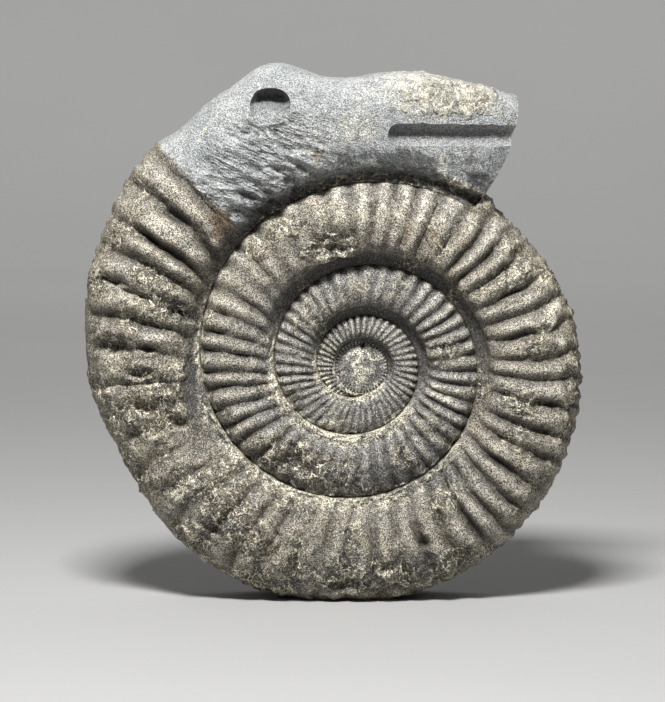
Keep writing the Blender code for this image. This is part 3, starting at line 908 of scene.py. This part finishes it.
def ring_corner(row, column):
    """Point on the last coil, from the front seam over the back to the rear seam."""
    if column <= FRONT_COLUMNS:
        return flank_corner(row, column, FRONT_COLUMNS, -1)
    if column >= RING_COLUMNS - REAR_COLUMNS:
        return flank_corner(row, RING_COLUMNS - column, REAR_COLUMNS, 1)
    turn = SHOULDER_TURN * (1.0 - 2.0 * (column - FRONT_COLUMNS) / BACK_COLUMNS)
    return coil_corner(row, abs(turn), -1 if turn > 0.0 else 1, 1.0)


def cap_corner(row, column):
    """Point on the snout's end, which closes onto the coil below it."""
    below = min(max(column, FRONT_COLUMNS), RING_COLUMNS - REAR_COLUMNS)
    high, relief = ring_corner(ROWS, column)
    low = ring_corner(0, below)[0]
    share = row / CAP_ROWS
    place = high.lerp(low, share)
    rough = uneven_sum(place / MM, CAP_ROUGH)
    middle = 4.0 * share * (1.0 - share)
    inside = middle * bell(place.y / MM, 6.5)
    place.y *= 1.0 - CAP_BOW * middle * clamp((high - low).length / MM / CAP_BOW_LENGTH)
    place += Vector((0.8, 0.0, -0.6)) * (rough * inside * MM)
    relief.dark = max(relief.dark, 0.4 * ease(0.0, 0.3, share))
    relief.cream = max(relief.cream, 0.6 * ease(0.6, 0.9, share))
    return place, relief


class Stone:
    """A mesh in the making, with the masks as its vertex layers."""

    def __init__(self):
        self.mesh = bmesh.new()
        self.layers = {name: self.mesh.verts.layers.float.new(name) for name in Relief.MASKS}

    def put(self, vert, corner):
        vert.co, relief = corner
        for name, layer in self.layers.items():
            vert[layer] = getattr(relief, name)

    def sheet(self, rows, columns, corner):
        """Adds a grid whose corner (row, column) lies where corner says."""
        made = bmesh.ops.create_grid(self.mesh, x_segments=rows, y_segments=columns, size=1.0)
        grid = {}
        for vert in made["verts"]:
            row = round((vert.co.x + 1.0) / 2.0 * rows)
            grid[row, round((vert.co.y + 1.0) / 2.0 * columns)] = vert
        for (row, column), vert in grid.items():
            self.put(vert, corner(row, column))
        return grid

    def refine(self, chain, corner):
        """Halves the edges along a chain of corners, each middle lying where corner says."""
        for n, (start, end) in enumerate(zip(chain, chain[1:])):
            if start is end:
                continue
            edge = next(e for e in start.link_edges if e.other_vert(start) is end)
            middle = bmesh.utils.edge_split(edge, start, 0.5)[1]
            self.put(middle, corner(n))


def add_core(stone, side):
    rows = ROWS // 2
    stone.sheet(rows, CORE_RINGS, lambda row, ring: core_corner(
        COIL_START_ROW - ROWS + 2 * row, 1.0 - ring / CORE_RINGS, side))


def add_inner_coils(stone, side, columns):
    """The third and fourth coils, with half the rows and columns of the last one."""
    rows = (MIDDLE_ROW - COIL_START_ROW) // 2
    grid = stone.sheet(rows, columns // 2, lambda row, column: flank_corner(
        COIL_START_ROW + 2 * row, column, columns // 2, side))
    chain = [grid[rows, column] for column in range(columns // 2 + 1)]
    stone.refine(chain, lambda n: flank_corner(MIDDLE_ROW, 2 * n + 1, columns, side))


def add_second_coil(stone, side, columns):
    """The second coil, with half the rows of the last one and as many columns."""
    rows = ROWS // 2
    grid = stone.sheet(rows, columns, lambda row, column: flank_corner(
        MIDDLE_ROW + 2 * row, column, columns, side))
    chain = [grid[row, columns] for row in range(rows + 1)]
    stone.refine(chain, lambda n: seam_corner(MIDDLE_ROW + 2 * n + 1, side))


def build_stone_mesh():
    stone = Stone()
    for side, columns in ((-1, FRONT_COLUMNS), (1, REAR_COLUMNS)):
        add_core(stone, side)
        add_inner_coils(stone, side, columns)
        add_second_coil(stone, side, columns)
    stone.sheet(ROWS, RING_COLUMNS, ring_corner)
    stone.sheet(CAP_ROWS, RING_COLUMNS, cap_corner)
    mesh = stone.mesh
    bmesh.ops.remove_doubles(mesh, verts=mesh.verts[:], dist=WELD)
    bmesh.ops.dissolve_degenerate(mesh, edges=mesh.edges[:], dist=WELD)
    bmesh.ops.triangulate(mesh, faces=mesh.faces[:], quad_method="SHORT_EDGE")
    mesh.normal_update()
    bmesh.ops.recalc_face_normals(mesh, faces=mesh.faces[:])
    return mesh


def level_base(mesh):
    """Grinds the flat spot under the coil."""
    for vert in mesh.verts:
        if vert.co.z < 0.0:
            vert.co.z = 0.0


def face_depth(x, z):
    """Depth of the carved head's side at a place seen from the front."""
    growth = (MOUTH_ANGLE - math.degrees(math.atan2(z, x))) % 360.0
    half = half_height(growth)
    out = min(1.0, abs(math.hypot(x, z) - outer_radius(growth) + half) / half)
    power = smooth_through(HEAD_SECTION_POWER, growth)
    return half_thickness(growth) * (1.0 - out ** power) ** (1.0 / power)


def squared(angle, power):
    """Radius of a unit superellipse in a direction."""
    return (abs(math.cos(angle)) ** power + abs(math.sin(angle)) ** power) ** (-1.0 / power)


def eye_cutter(side):
    """A blind hole with steep walls, deep at its top and shallow at its bottom."""
    mesh = bmesh.new()
    bmesh.ops.create_uvsphere(mesh, u_segments=64, v_segments=40, radius=1.0)
    surface = face_depth(*EYE_CENTRE)
    x, z = EYE_CENTRE
    axis = stone_settings().axis_height / MM
    for vert in mesh.verts:
        angle = math.atan2(vert.co.y, vert.co.x)
        flat = math.hypot(vert.co.x, vert.co.y) ** EYE_WALL
        ragged = noise.noise(Vector((math.cos(angle), math.sin(angle), 0.6 * vert.co.z)) * 2.2)
        wide = EYE_RADIUS * flat * squared(angle, EYE_SQUARE) * (1.0 + 0.035 * ragged)
        across, up = 0.99 * wide * math.cos(angle), 0.9 * wide * math.sin(angle)
        floor = EYE_DEPTH * clamp(0.5 + 0.55 * up / EYE_RADIUS) ** EYE_STEEP
        reach = floor if vert.co.z > 0.0 else 3.0
        depth = abs(vert.co.z) ** EYE_STEEP * reach * (1.0 if vert.co.z > 0.0 else -1.0)
        depth += 0.10 * noise.noise(Vector((across, up, 2.0)) * 0.9)
        vert.co = Vector((x + across, side * (surface - depth), axis + z + up)) * MM
    return mesh


def mouth_cutter(side):
    """A round-bottomed groove with a ragged upper edge, which runs out at the snout's end."""
    start, end = Vector(MOUTH_START), Vector(MOUTH_END)
    run = (end - start).length
    mesh = bmesh.new()
    bmesh.ops.create_uvsphere(mesh, u_segments=36, v_segments=24, radius=MOUTH_HALF_HEIGHT)
    for vert in mesh.verts:
        if vert.co.z > 0.01:
            vert.co.z += run
    long_edges = [edge for edge in mesh.edges if edge.calc_length() > 0.5 * run]
    bmesh.ops.subdivide_edges(mesh, edges=long_edges, cuts=MOUTH_CUTS, use_grid_fill=True)
    axis = stone_settings().axis_height / MM
    along = (end - start).normalized()
    for vert in mesh.verts:
        up, deep, far = vert.co.x, vert.co.y, vert.co.z
        ragged = noise.noise(Vector((far * 0.55, side * 4.0, 0.0)))
        fine = noise.noise(Vector((far * 1.6, up, deep)))
        up *= 1.0 + (0.10 * ragged if up > 0.0 else 0.06 * ragged) + 0.04 * fine
        deep = deep * MOUTH_DEPTH / MOUTH_HALF_HEIGHT + 0.07 * fine
        x = start.x + along.x * far - along.y * up
        z = start.y + along.y * far + along.x * up
        surface = face_depth(min(x, 30.0), start.y)
        vert.co = Vector((x, side * (surface + 0.15 + deep), axis + z)) * MM
    return mesh


def object_from(mesh, name):
    data = bpy.data.meshes.new(name)
    mesh.to_mesh(data)
    mesh.free()
    made = bpy.data.objects.new(name, data)
    bpy.context.scene.collection.objects.link(made)
    return made


def cut_recesses(piece):
    """Cuts the eyes and the mouth groove of both sides, gives their walls the masks nearby, and marks
    the painted shade that deepens inside them.
    """
    before = piece.data
    tree = KDTree(len(before.vertices))
    for vert in before.vertices:
        tree.insert(vert.co, vert.index)
    tree.balance()
    masks = {name: [value.value for value in before.attributes[name].data] for name in Relief.MASKS}
    cutters = []
    for side in (-1, 1):
        for make in (eye_cutter, mouth_cutter):
            mesh = make(side)
            mesh.normal_update()
            bmesh.ops.recalc_face_normals(mesh, faces=mesh.faces[:])
            cutters.append(object_from(mesh, "recess"))
    for cutter in cutters:
        cut = piece.modifiers.new("recess", "BOOLEAN")
        cut.operation = "DIFFERENCE"
        cut.solver = "EXACT"
        cut.object = cutter
    depsgraph = bpy.context.evaluated_depsgraph_get()
    after = bpy.data.meshes.new_from_object(piece.evaluated_get(depsgraph))
    piece.modifiers.clear()
    piece.data = after
    bpy.data.meshes.remove(before)
    for cutter in cutters:
        bpy.data.objects.remove(cutter)
    # Painted shade in the eyes and the mouth groove: a mask that grows with the depth below the uncut
    # surface.
    carved = after.attributes.get("recess") or after.attributes.new("recess", "FLOAT", "POINT")
    for vert in after.vertices:
        index, distance = tree.find(vert.co)[1:]
        if distance > 1e-6:
            for name in Relief.MASKS:
                after.attributes[name].data[vert.index].value = masks[name][index]
        deep = distance / MM
        carved.data[vert.index].value = 0.4 * ease(0.3, 0.9, deep) + 0.6 * ease(1.0, 3.0, deep)


def group_with(name, inputs, outputs):
    """An empty node group with named sockets, each (name, type, default)."""
    group = bpy.data.node_groups.new(name, "ShaderNodeTree")
    for label, kind, default in inputs:
        socket = group.interface.new_socket(name=label, in_out="INPUT", socket_type=kind)
        socket.default_value = default
    for label, kind in outputs:
        group.interface.new_socket(name=label, in_out="OUTPUT", socket_type=kind)
    return group, group.nodes.new("NodeGroupInput"), group.nodes.new("NodeGroupOutput")


def noise_node(tree, vector, scale, detail, roughness):
    node = tree.nodes.new("ShaderNodeTexNoise")
    node.inputs["Scale"].default_value = scale
    node.inputs["Detail"].default_value = detail
    node.inputs["Roughness"].default_value = roughness
    tree.links.new(vector, node.inputs["Vector"])
    return node.outputs["Fac"]


def range_node(tree, value, low, high, to_low=0.0, to_high=1.0):
    node = tree.nodes.new("ShaderNodeMapRange")
    node.inputs["From Min"].default_value = low
    node.inputs["From Max"].default_value = high
    node.inputs["To Min"].default_value = to_low
    node.inputs["To Max"].default_value = to_high
    tree.links.new(value, node.inputs["Value"])
    return node.outputs["Result"]


def maths(tree, operation, first, second):
    node = tree.nodes.new("ShaderNodeMath")
    node.operation = operation
    for socket, value in zip(node.inputs, (first, second)):
        if isinstance(value, (int, float)):
            socket.default_value = value
        else:
            tree.links.new(value, socket)
    return node.outputs["Value"]


def product(tree, *values):
    result = values[0]
    for value in values[1:]:
        result = maths(tree, "MULTIPLY", result, value)
    return result


def grey_of(tree, value):
    """A grey as bright as a value."""
    node = tree.nodes.new("ShaderNodeCombineColor")
    for socket in node.inputs:
        tree.links.new(value, socket)
    return node.outputs["Color"]


def mix(tree, share, first, second, kind="MIX"):
    node = tree.nodes.new("ShaderNodeMix")
    node.data_type = "RGBA"
    node.blend_type = kind
    for label, value in (("Factor", share), ("A", first), ("B", second)):
        socket = next(s for s in node.inputs if s.name == label and s.enabled)
        if isinstance(value, (int, float, tuple)):
            socket.default_value = value
        else:
            tree.links.new(value, socket)
    return next(s for s in node.outputs if s.enabled)


def scaled_vector(group, inside):
    node = group.nodes.new("ShaderNodeVectorMath")
    node.operation = "SCALE"
    group.links.new(inside.outputs["Vector"], node.inputs[0])
    group.links.new(inside.outputs["Size"], node.inputs["Scale"])
    return node.outputs["Vector"]


VECTOR_AND_SIZE = (("Vector", "NodeSocketVector", (0.0, 0.0, 0.0)),
                   ("Size", "NodeSocketFloat", 100.0))


def grain_group():
    """Sugary grain of the stone: a speckle that lightens and darkens, and its height."""
    group, inside, outside = group_with(
        "Stone grain", VECTOR_AND_SIZE,
        (("Speckle", "NodeSocketFloat"), ("Fleck", "NodeSocketFloat"), ("Height", "NodeSocketFloat")))
    vector = scaled_vector(group, inside)
    fine = noise_node(group, vector, 1.0, 1.0, 0.6)
    coarse = noise_node(group, vector, 0.37, 3.0, 0.65)
    both = maths(group, "ADD", product(group, fine, 0.75), product(group, coarse, 0.25))
    group.links.new(range_node(group, both, 0.36, 0.64), outside.inputs["Speckle"])
    group.links.new(range_node(group, fine, 0.62, 0.72), outside.inputs["Fleck"])
    group.links.new(both, outside.inputs["Height"])
    return group


def stain_group():
    """Soft cloudy patches at a chosen size."""
    group, inside, outside = group_with("Stone stain", VECTOR_AND_SIZE, (("Mask", "NodeSocketFloat"),))
    cloud = noise_node(group, scaled_vector(group, inside), 1.0, 5.0, 0.65)
    group.links.new(range_node(group, cloud, 0.38, 0.68), outside.inputs["Mask"])
    return group


def flake_group():
    """Scaly plates of broken shell: their bright edges, partly painted highlight, the gaps below them,
    which take painted shadow, and the height.
    """
    group, inside, outside = group_with(
        "Stone flakes", VECTOR_AND_SIZE + (("Bend", "NodeSocketFloat", 1.3),),
        (("Edge", "NodeSocketFloat"), ("Gap", "NodeSocketFloat"), ("Crack", "NodeSocketFloat"),
         ("Height", "NodeSocketFloat")))
    scaled = scaled_vector(group, inside)
    warp = group.nodes.new("ShaderNodeTexNoise")
    warp.inputs["Scale"].default_value = 0.9
    warp.inputs["Detail"].default_value = 3.0
    group.links.new(scaled, warp.inputs["Vector"])
    bend = group.nodes.new("ShaderNodeVectorMath")
    bend.operation = "MULTIPLY_ADD"
    group.links.new(warp.outputs["Color"], bend.inputs[0])
    group.links.new(inside.outputs["Bend"], bend.inputs[1])
    group.links.new(scaled, bend.inputs[2])
    plates, borders = (group.nodes.new("ShaderNodeTexVoronoi") for n in range(2))
    borders.feature = "DISTANCE_TO_EDGE"
    for node in (plates, borders):
        node.inputs["Scale"].default_value = 1.0
        group.links.new(bend.outputs["Vector"], node.inputs["Vector"])
    split = group.nodes.new("ShaderNodeSeparateColor")
    group.links.new(plates.outputs["Color"], split.inputs["Color"])
    level = split.outputs["Red"]
    breaks = range_node(group, noise_node(group, scaled, 1.3, 2.0, 0.5), 0.46, 0.56)
    border = range_node(group, borders.outputs["Distance"], 0.17, 0.05)
    high = range_node(group, level, 0.35, 0.6)
    group.links.new(product(group, high, border, breaks), outside.inputs["Edge"])
    low = range_node(group, level, 0.5, 0.3)
    near = range_node(group, borders.outputs["Distance"], 0.32, 0.04)
    group.links.new(product(group, low, near), outside.inputs["Gap"])
    crack = range_node(group, borders.outputs["Distance"], 0.075, 0.03)
    group.links.new(product(group, crack, breaks), outside.inputs["Crack"])
    group.links.new(level, outside.inputs["Height"])
    return group


def cells(tree, vector, scale, slope):
    """Scooped cells stretched along a slope in degrees, low in their middles and high at the edges."""
    mapping = tree.nodes.new("ShaderNodeMapping")
    mapping.vector_type = "TEXTURE"
    mapping.inputs["Rotation"].default_value = (0.0, math.radians(slope), 0.0)
    mapping.inputs["Scale"].default_value = tuple(1.0 / size for size in scale)
    tree.links.new(vector, mapping.inputs["Vector"])
    node = tree.nodes.new("ShaderNodeTexVoronoi")
    node.inputs["Scale"].default_value = 1.0
    tree.links.new(mapping.outputs["Vector"], node.inputs["Vector"])
    return node.outputs["Distance"]


def mask_node(tree, name):
    node = tree.nodes.new("ShaderNodeAttribute")
    node.attribute_name = name
    return node.outputs["Fac"]


def use_group(tree, group, vector, size):
    node = tree.nodes.new("ShaderNodeGroup")
    node.node_tree = group
    node.inputs["Size"].default_value = size
    tree.links.new(vector, node.inputs["Vector"])
    return node


def new_material(name):
    material = bpy.data.materials.new(name)
    material.use_nodes = True
    tree = material.node_tree
    return material, tree, tree.nodes["Principled BSDF"]


class StoneShading:
    """The stone's material in the making: its patterns, its masks and what is painted with them."""

    def __init__(self, tree, colours):
        self.tree, self.colours = tree, colours
        vector = tree.nodes.new("ShaderNodeTexCoord").outputs["Object"]
        self.grain = use_group(tree, grain_group(), vector, GRAIN_SCALE)
        stains, flakes = stain_group(), flake_group()
        self.broad, self.small, self.blot = (
            use_group(tree, stains, vector, scale).outputs["Mask"]
            for scale in (BROAD_STAIN, SMALL_STAIN, BLOT))
        self.large, self.fine = (
            use_group(tree, flakes, vector, scale) for scale in (LARGE_FLAKES, FINE_FLAKES))
        self.masks = {name: mask_node(tree, name) for name in Relief.MASKS + ("recess",)}
        self.crust = range_node(tree, self.masks["crust"], *CRUST_RANGE)
        nicks = product(tree, cells(tree, vector, NICK_CELLS, STROKE_SLOPE), 0.5)
        self.strokes = maths(tree, "ADD", cells(tree, vector, STROKE_CELLS, STROKE_SLOPE), nicks)

    def on_coil_and_head(self, coil, head):
        """A value that changes from the coil to the carved head."""
        return range_node(self.tree, self.masks["head"], 0.0, 1.0, coil, head)

    def ragged(self, name):
        """A mask with crisp, broken edges."""
        tree, mask = self.tree, self.masks[name]
        broken = maths(tree, "ADD", mask, product(tree, maths(tree, "SUBTRACT", self.blot, 0.45), 0.75))
        return product(tree, range_node(tree, broken, 0.2, 0.75), range_node(tree, mask, 0.0, 0.15))

    def strongest(self, name, small_share):
        """The stronger of the large and the fine flakes' masks of one name."""
        fine = product(self.tree, self.fine.outputs[name], small_share)
        return maths(self.tree, "MAXIMUM", self.large.outputs[name], fine)

    def over(self, below, name, *shares):
        """Paints one of the stone's colours over another, as far as the shares say."""
        paint = tuple(getattr(self.colours, name))
        return mix(self.tree, product(self.tree, *shares), below, paint)

    def clean(self):
        """The bare stone of the coil and of the carved head, with the ribs' backs paler: partly pale
        stone, partly painted highlight.
        """
        colours, masks = self.colours, self.masks
        coil = mix(self.tree, self.broad, tuple(colours.coil), tuple(colours.coil_warm))
        coil = self.over(coil, "core", masks["core"], 0.85)
        # Paler rib backs: partly pale stone, partly painted highlight.
        coil = self.over(coil, "crest", masks["crest"], 0.8)
        head = mix(self.tree, self.broad, tuple(colours.head), tuple(colours.head_pale))
        head = self.over(head, "head_dark", self.small, 0.3)
        return mix(self.tree, masks["head"], coil, head)

    def stained(self, colour):
        """Crust, cream, rust and dirt on the stone, and painted light: shade in the grooves, in dark
        places, in the recesses and in the chisel scoops, and highlight in some of the cream.
        """
        masks = self.masks
        patchy = range_node(self.tree, self.small, 0.0, 0.7, 0.55, 1.0)
        scoop_shade = range_node(self.tree, self.strokes, 0.75, 0.25)
        colour = self.over(colour, "crust", self.crust, 0.55)
        cream = self.on_coil_and_head(*CREAM_STRENGTH)
        colour = self.over(colour, "cream", self.ragged("cream"), cream)
        colour = self.over(colour, "rust", self.ragged("rust"), patchy, 0.85)
        colour = self.over(colour, "dark", self.ragged("dark"), 0.85)
        # Near-black of the grooves, seams and chips: partly dirt, partly painted shade.
        colour = self.over(colour, "groove", masks["groove"], 0.9)
        # Painted shade inside the cut recesses.
        colour = self.over(colour, "dark", masks["recess"], 0.85)
        # Painted shade in the low middles of the chisel scoops.
        return self.over(colour, "dark", masks["chisel"], scoop_shade, 0.6)

    def flaked(self, colour):
        """Veins of the carved head, the crust's bright edges, partly painted highlight, and painted
        shadow in the gaps under them.
        """
        tree, masks = self.tree, self.masks
        veins = range_node(tree, masks["cream"], 0.0, 0.5, 0.3, 0.75)
        colour = self.over(colour, "head_dark", masks["head"], self.large.outputs["Crack"], veins)
        edges = product(tree, self.large.outputs["Edge"], 0.45)
        edges = maths(tree, "MAXIMUM", self.strongest("Crack", 0.8), edges)
        # Painted shadow in the gaps under the flakes' edges.
        colour = self.over(colour, "groove", self.crust, self.strongest("Gap", 0.8), 0.8)
        # Bright flake edges: partly pale stone, partly painted highlight.
        return self.over(colour, "flake", self.crust, edges)

    def grained(self, colour):
        """The speckle of the stone's grain, with bright flecks."""
        tree = self.tree
        speckle = maths(tree, "POWER", self.grain.outputs["Speckle"], GRAIN_CURVE)
        speckle = maths(tree, "SUBTRACT", speckle, GRAIN_MIDDLE)
        speckle = product(tree, speckle, self.on_coil_and_head(*GRAIN_STRENGTH))
        speckle = maths(tree, "ADD", speckle, range_node(tree, self.small, 0.0, 1.0, 0.8, 1.2))
        speckle = maths(tree, "MAXIMUM", speckle, GRAIN_LIMITS[0])
        speckle = maths(tree, "MINIMUM", speckle, GRAIN_LIMITS[1])
        colour = mix(tree, 1.0, colour, grey_of(tree, speckle), "MULTIPLY")
        clear = range_node(tree, self.masks["groove"], 0.0, 1.0, 0.4, 0.1)
        flecks = product(tree, clear, self.on_coil_and_head(*FLECK_STRENGTH))
        return self.over(colour, "flake", self.grain.outputs["Fleck"], flecks)

    def height(self):
        """Height of the grain, the broken layers and the chisel strokes."""
        tree = self.tree
        layers = maths(tree, "ADD", product(tree, self.large.outputs["Height"], 2.2),
                       product(tree, self.fine.outputs["Height"], 1.2))
        raised = maths(tree, "ADD", self.grain.outputs["Height"], product(tree, layers, self.crust))
        return maths(tree, "ADD", raised, product(tree, self.strokes, self.masks["chisel"], 2.6))


def stone_material(colours):
    material, tree, shader = new_material("fossil_stone")
    shading = StoneShading(tree, colours)
    colour = shading.grained(shading.flaked(shading.stained(shading.clean())))
    tree.links.new(colour, shader.inputs["Base Color"])
    tree.links.new(range_node(tree, shading.small, 0.0, 1.0, *ROUGHNESS), shader.inputs["Roughness"])
    shader.inputs["Specular IOR Level"].default_value = 0.5
    bump = tree.nodes.new("ShaderNodeBump")
    bump.inputs["Strength"].default_value = BUMP_STRENGTH
    bump.inputs["Distance"].default_value = BUMP_DISTANCE
    tree.links.new(shading.height(), bump.inputs["Height"])
    tree.links.new(bump.outputs["Normal"], shader.inputs["Normal"])
    return material


def floor_material(colour):
    material, tree, shader = new_material("studio_floor")
    vector = tree.nodes.new("ShaderNodeTexCoord").outputs["Object"]
    cloud = range_node(tree, noise_node(tree, vector, 6.0, 3.0, 0.5), 0.3, 0.7, 0.96, 1.0)
    painted = mix(tree, 1.0, tuple(colour), grey_of(tree, cloud), "MULTIPLY")
    tree.links.new(painted, shader.inputs["Base Color"])
    shader.inputs["Roughness"].default_value = 0.8
    return material


def colour_property(name, description, default):
    return FloatVectorProperty(name=name, description=description, default=default, size=4,
                               min=0.0, max=1.0, subtype="COLOR")


class AmmoniteStoneSettings(bpy.types.PropertyGroup):
    """Sizes and colours of the stone."""

    axis_height: FloatProperty(
        name="Axis height", description="Height of the coil's axis above the flat spot",
        default=44.0 * MM, unit="LENGTH")
    coil: colour_property("Coil", "Brown grey of the coil", (0.20, 0.183, 0.155, 1.0))
    coil_warm: colour_property("Warm coil", "Tan that clouds the coil", (0.27, 0.235, 0.175, 1.0))
    core: colour_property("Inner coils", "Greyer stone of the inner coils", (0.19, 0.187, 0.178, 1.0))
    # The ribs' pale backs are partly pale stone and partly painted highlight.
    crest: colour_property("Crests", "Pale backs of the ribs", (0.545, 0.507, 0.425, 1.0))
    # The near-black is partly dirt and partly painted shade: in the grooves, along the seams, in the
    # chips and in the flakes' gaps.
    groove: colour_property("Grooves", "Dirt in the grooves", (0.022, 0.018, 0.013, 1.0))
    # Cream paints crust and stains, and also painted highlight: on the second coil's top and on the
    # lips below the chips.
    cream: colour_property("Cream", "Cream crust and stains", (0.68, 0.635, 0.51, 1.0))
    # This grey paints stains and also painted shade: in the valleys above the seams, by the seam on the
    # left, low on the coils, over the chips, in the chisel scoops and inside the cut recesses.
    dark: colour_property("Dark stains", "Dark grey stains", (0.07, 0.07, 0.068, 1.0))
    rust: colour_property("Rust", "Brown stains", (0.18, 0.115, 0.055, 1.0))
    crust: colour_property("Crust", "Brown of the broken crust", (0.19, 0.16, 0.11, 1.0))
    # The flakes' bright edges are partly pale stone and partly painted highlight; this also colours the
    # grain's flecks.
    flake: colour_property("Flake edges", "Bright edges of flakes", (0.70, 0.65, 0.50, 1.0))
    head: colour_property("Head", "Blue grey of the carved head", (0.255, 0.269, 0.27, 1.0))
    head_pale: colour_property("Pale head", "Paler clouds of the head", (0.39, 0.395, 0.38, 1.0))
    head_dark: colour_property("Dark head", "Darker veins of the head", (0.17, 0.175, 0.175, 1.0))


class AmmoniteStudioSettings(bpy.types.PropertyGroup):
    """The camera, the lights and the floor."""

    distance: FloatProperty(name="Camera distance", description="From the stone to the camera",
                            default=LOOK_DISTANCE * MM, unit="LENGTH")
    elevation: FloatProperty(name="Elevation", description="How far the camera looks down",
                             default=math.radians(LOOK_DOWN), subtype="ANGLE")
    key_power: FloatProperty(name="Key light", description="Power of the soft light above", default=3.6)
    fill_power: FloatProperty(name="Fill light", description="Power of the soft light in front",
                              default=0.2)
    back_power: FloatProperty(name="Back light", description="Power of the light on the backdrop",
                              default=14.0)
    floor: colour_property("Floor", "Pale floor", (0.36, 0.357, 0.35, 1.0))


class AMMONITE_OT_stone(bpy.types.Operator):
    """Make the carved ammonite in place of its plain solid"""

    bl_idname = "ammonite.stone"
    bl_label = "Make the ammonite"

    def execute(self, context):
        mesh = build_stone_mesh()
        level_base(mesh)
        piece = object_from(mesh, "ammonite_stone")
        cut_recesses(piece)
        piece.data.materials.append(stone_material(context.scene.ammonite_stone))
        piece.data.shade_smooth()
        piece.data.set_sharp_from_angle(angle=math.radians(SHARP_ANGLE))
        if len(piece.data.polygons) > MOST_FACES:
            raise RuntimeError("the stone has more than %d faces" % MOST_FACES)
        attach(piece, "root")
        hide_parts("ammonite")
        return {"FINISHED"}


def add_area_light(name, place, aim, size, power):
    light = bpy.data.lights.new(name, "AREA")
    light.shape = "RECTANGLE"
    light.size, light.size_y = size
    light.energy = power
    made = bpy.data.objects.new(name, light)
    made.location = place
    made.rotation_euler = (Vector(aim) - Vector(place)).to_track_quat("-Z", "Y").to_euler()
    bpy.context.scene.collection.objects.link(made)


class AMMONITE_OT_stage(bpy.types.Operator):
    """Make the floor, the lights and the camera"""

    bl_idname = "ammonite.stage"
    bl_label = "Make the stage"

    def execute(self, context):
        studio = context.scene.ammonite_studio
        mesh = bmesh.new()
        bmesh.ops.create_grid(mesh, x_segments=1, y_segments=1, size=FLOOR_HALF)
        corner = [edge for edge in mesh.edges if all(vert.co.y > 0.0 for vert in edge.verts)]
        rise = bmesh.ops.extrude_edge_only(mesh, edges=corner)
        for vert in (part for part in rise["geom"] if isinstance(part, bmesh.types.BMVert)):
            vert.co.z += BACKDROP_HEIGHT
        corner = [edge for edge in mesh.edges if all(v.co.y > 0.0 and v.co.z < 0.1 for v in edge.verts)]
        bmesh.ops.bevel(mesh, geom=corner, offset=BACKDROP_BEND, offset_type="OFFSET",
                        affect="EDGES", segments=16, profile=0.5, material=-1)
        floor = object_from(mesh, "floor")
        floor.data.materials.append(floor_material(studio.floor))
        floor.data.shade_smooth()

        add_area_light("key", *KEY_LIGHT, studio.key_power)
        add_area_light("fill", *FILL_LIGHT, studio.fill_power)
        add_area_light("back", *BACK_LIGHT, studio.back_power)
        world = bpy.data.worlds.new("studio_world")
        world.use_nodes = True
        sky = world.node_tree.nodes["Background"]
        sky.inputs["Color"].default_value = SKY_COLOUR
        sky.inputs["Strength"].default_value = SKY_STRENGTH
        context.scene.world = world

        camera = bpy.data.objects.new("camera", bpy.data.cameras.new("camera"))
        aim = Vector((LOOK_AT[0] * MM, 0.0, stone_settings().axis_height + LOOK_AT[1] * MM))
        away = Vector((0.0, -math.cos(studio.elevation), math.sin(studio.elevation)))
        camera.location = aim + studio.distance * away
        camera.rotation_euler = (-away).to_track_quat("-Z", "Y").to_euler()
        camera.data.sensor_fit = "VERTICAL"
        camera.data.sensor_height = SENSOR_HEIGHT
        camera.data.lens = SENSOR_HEIGHT * studio.distance / (PICTURE_PIXELS * PIXEL)
        context.scene.collection.objects.link(camera)
        context.scene.camera = camera
        context.scene.view_settings.view_transform = "Standard"
        return {"FINISHED"}


class AMMONITE_PT_panel(bpy.types.Panel):
    """Lists the ammonite's operators"""

    bl_label = "Carved ammonite"
    bl_idname = "AMMONITE_PT_panel"
    bl_space_type = "VIEW_3D"
    bl_region_type = "UI"
    bl_category = "Ammonite"

    def draw(self, context):
        for operator in (AMMONITE_OT_stone, AMMONITE_OT_stage):
            self.layout.operator(operator.bl_idname)
        for settings in (context.scene.ammonite_stone, context.scene.ammonite_studio):
            for name in settings.bl_rna.properties.keys():
                if name not in ("name", "rna_type"):
                    self.layout.prop(settings, name)


CLASSES = (AmmoniteStoneSettings, AmmoniteStudioSettings, AMMONITE_OT_stone, AMMONITE_OT_stage,
           AMMONITE_PT_panel)


def register():
    for cls in CLASSES:
        bpy.utils.register_class(cls)
    bpy.types.Scene.ammonite_stone = PointerProperty(type=AmmoniteStoneSettings)
    bpy.types.Scene.ammonite_studio = PointerProperty(type=AmmoniteStudioSettings)


def unregister():
    del bpy.types.Scene.ammonite_stone
    del bpy.types.Scene.ammonite_studio
    for cls in reversed(CLASSES):
        bpy.utils.unregister_class(cls)


def main():
    register()
    bpy.ops.ammonite.stone()
    bpy.ops.ammonite.stage()


if __name__ == "__main__":
    main()
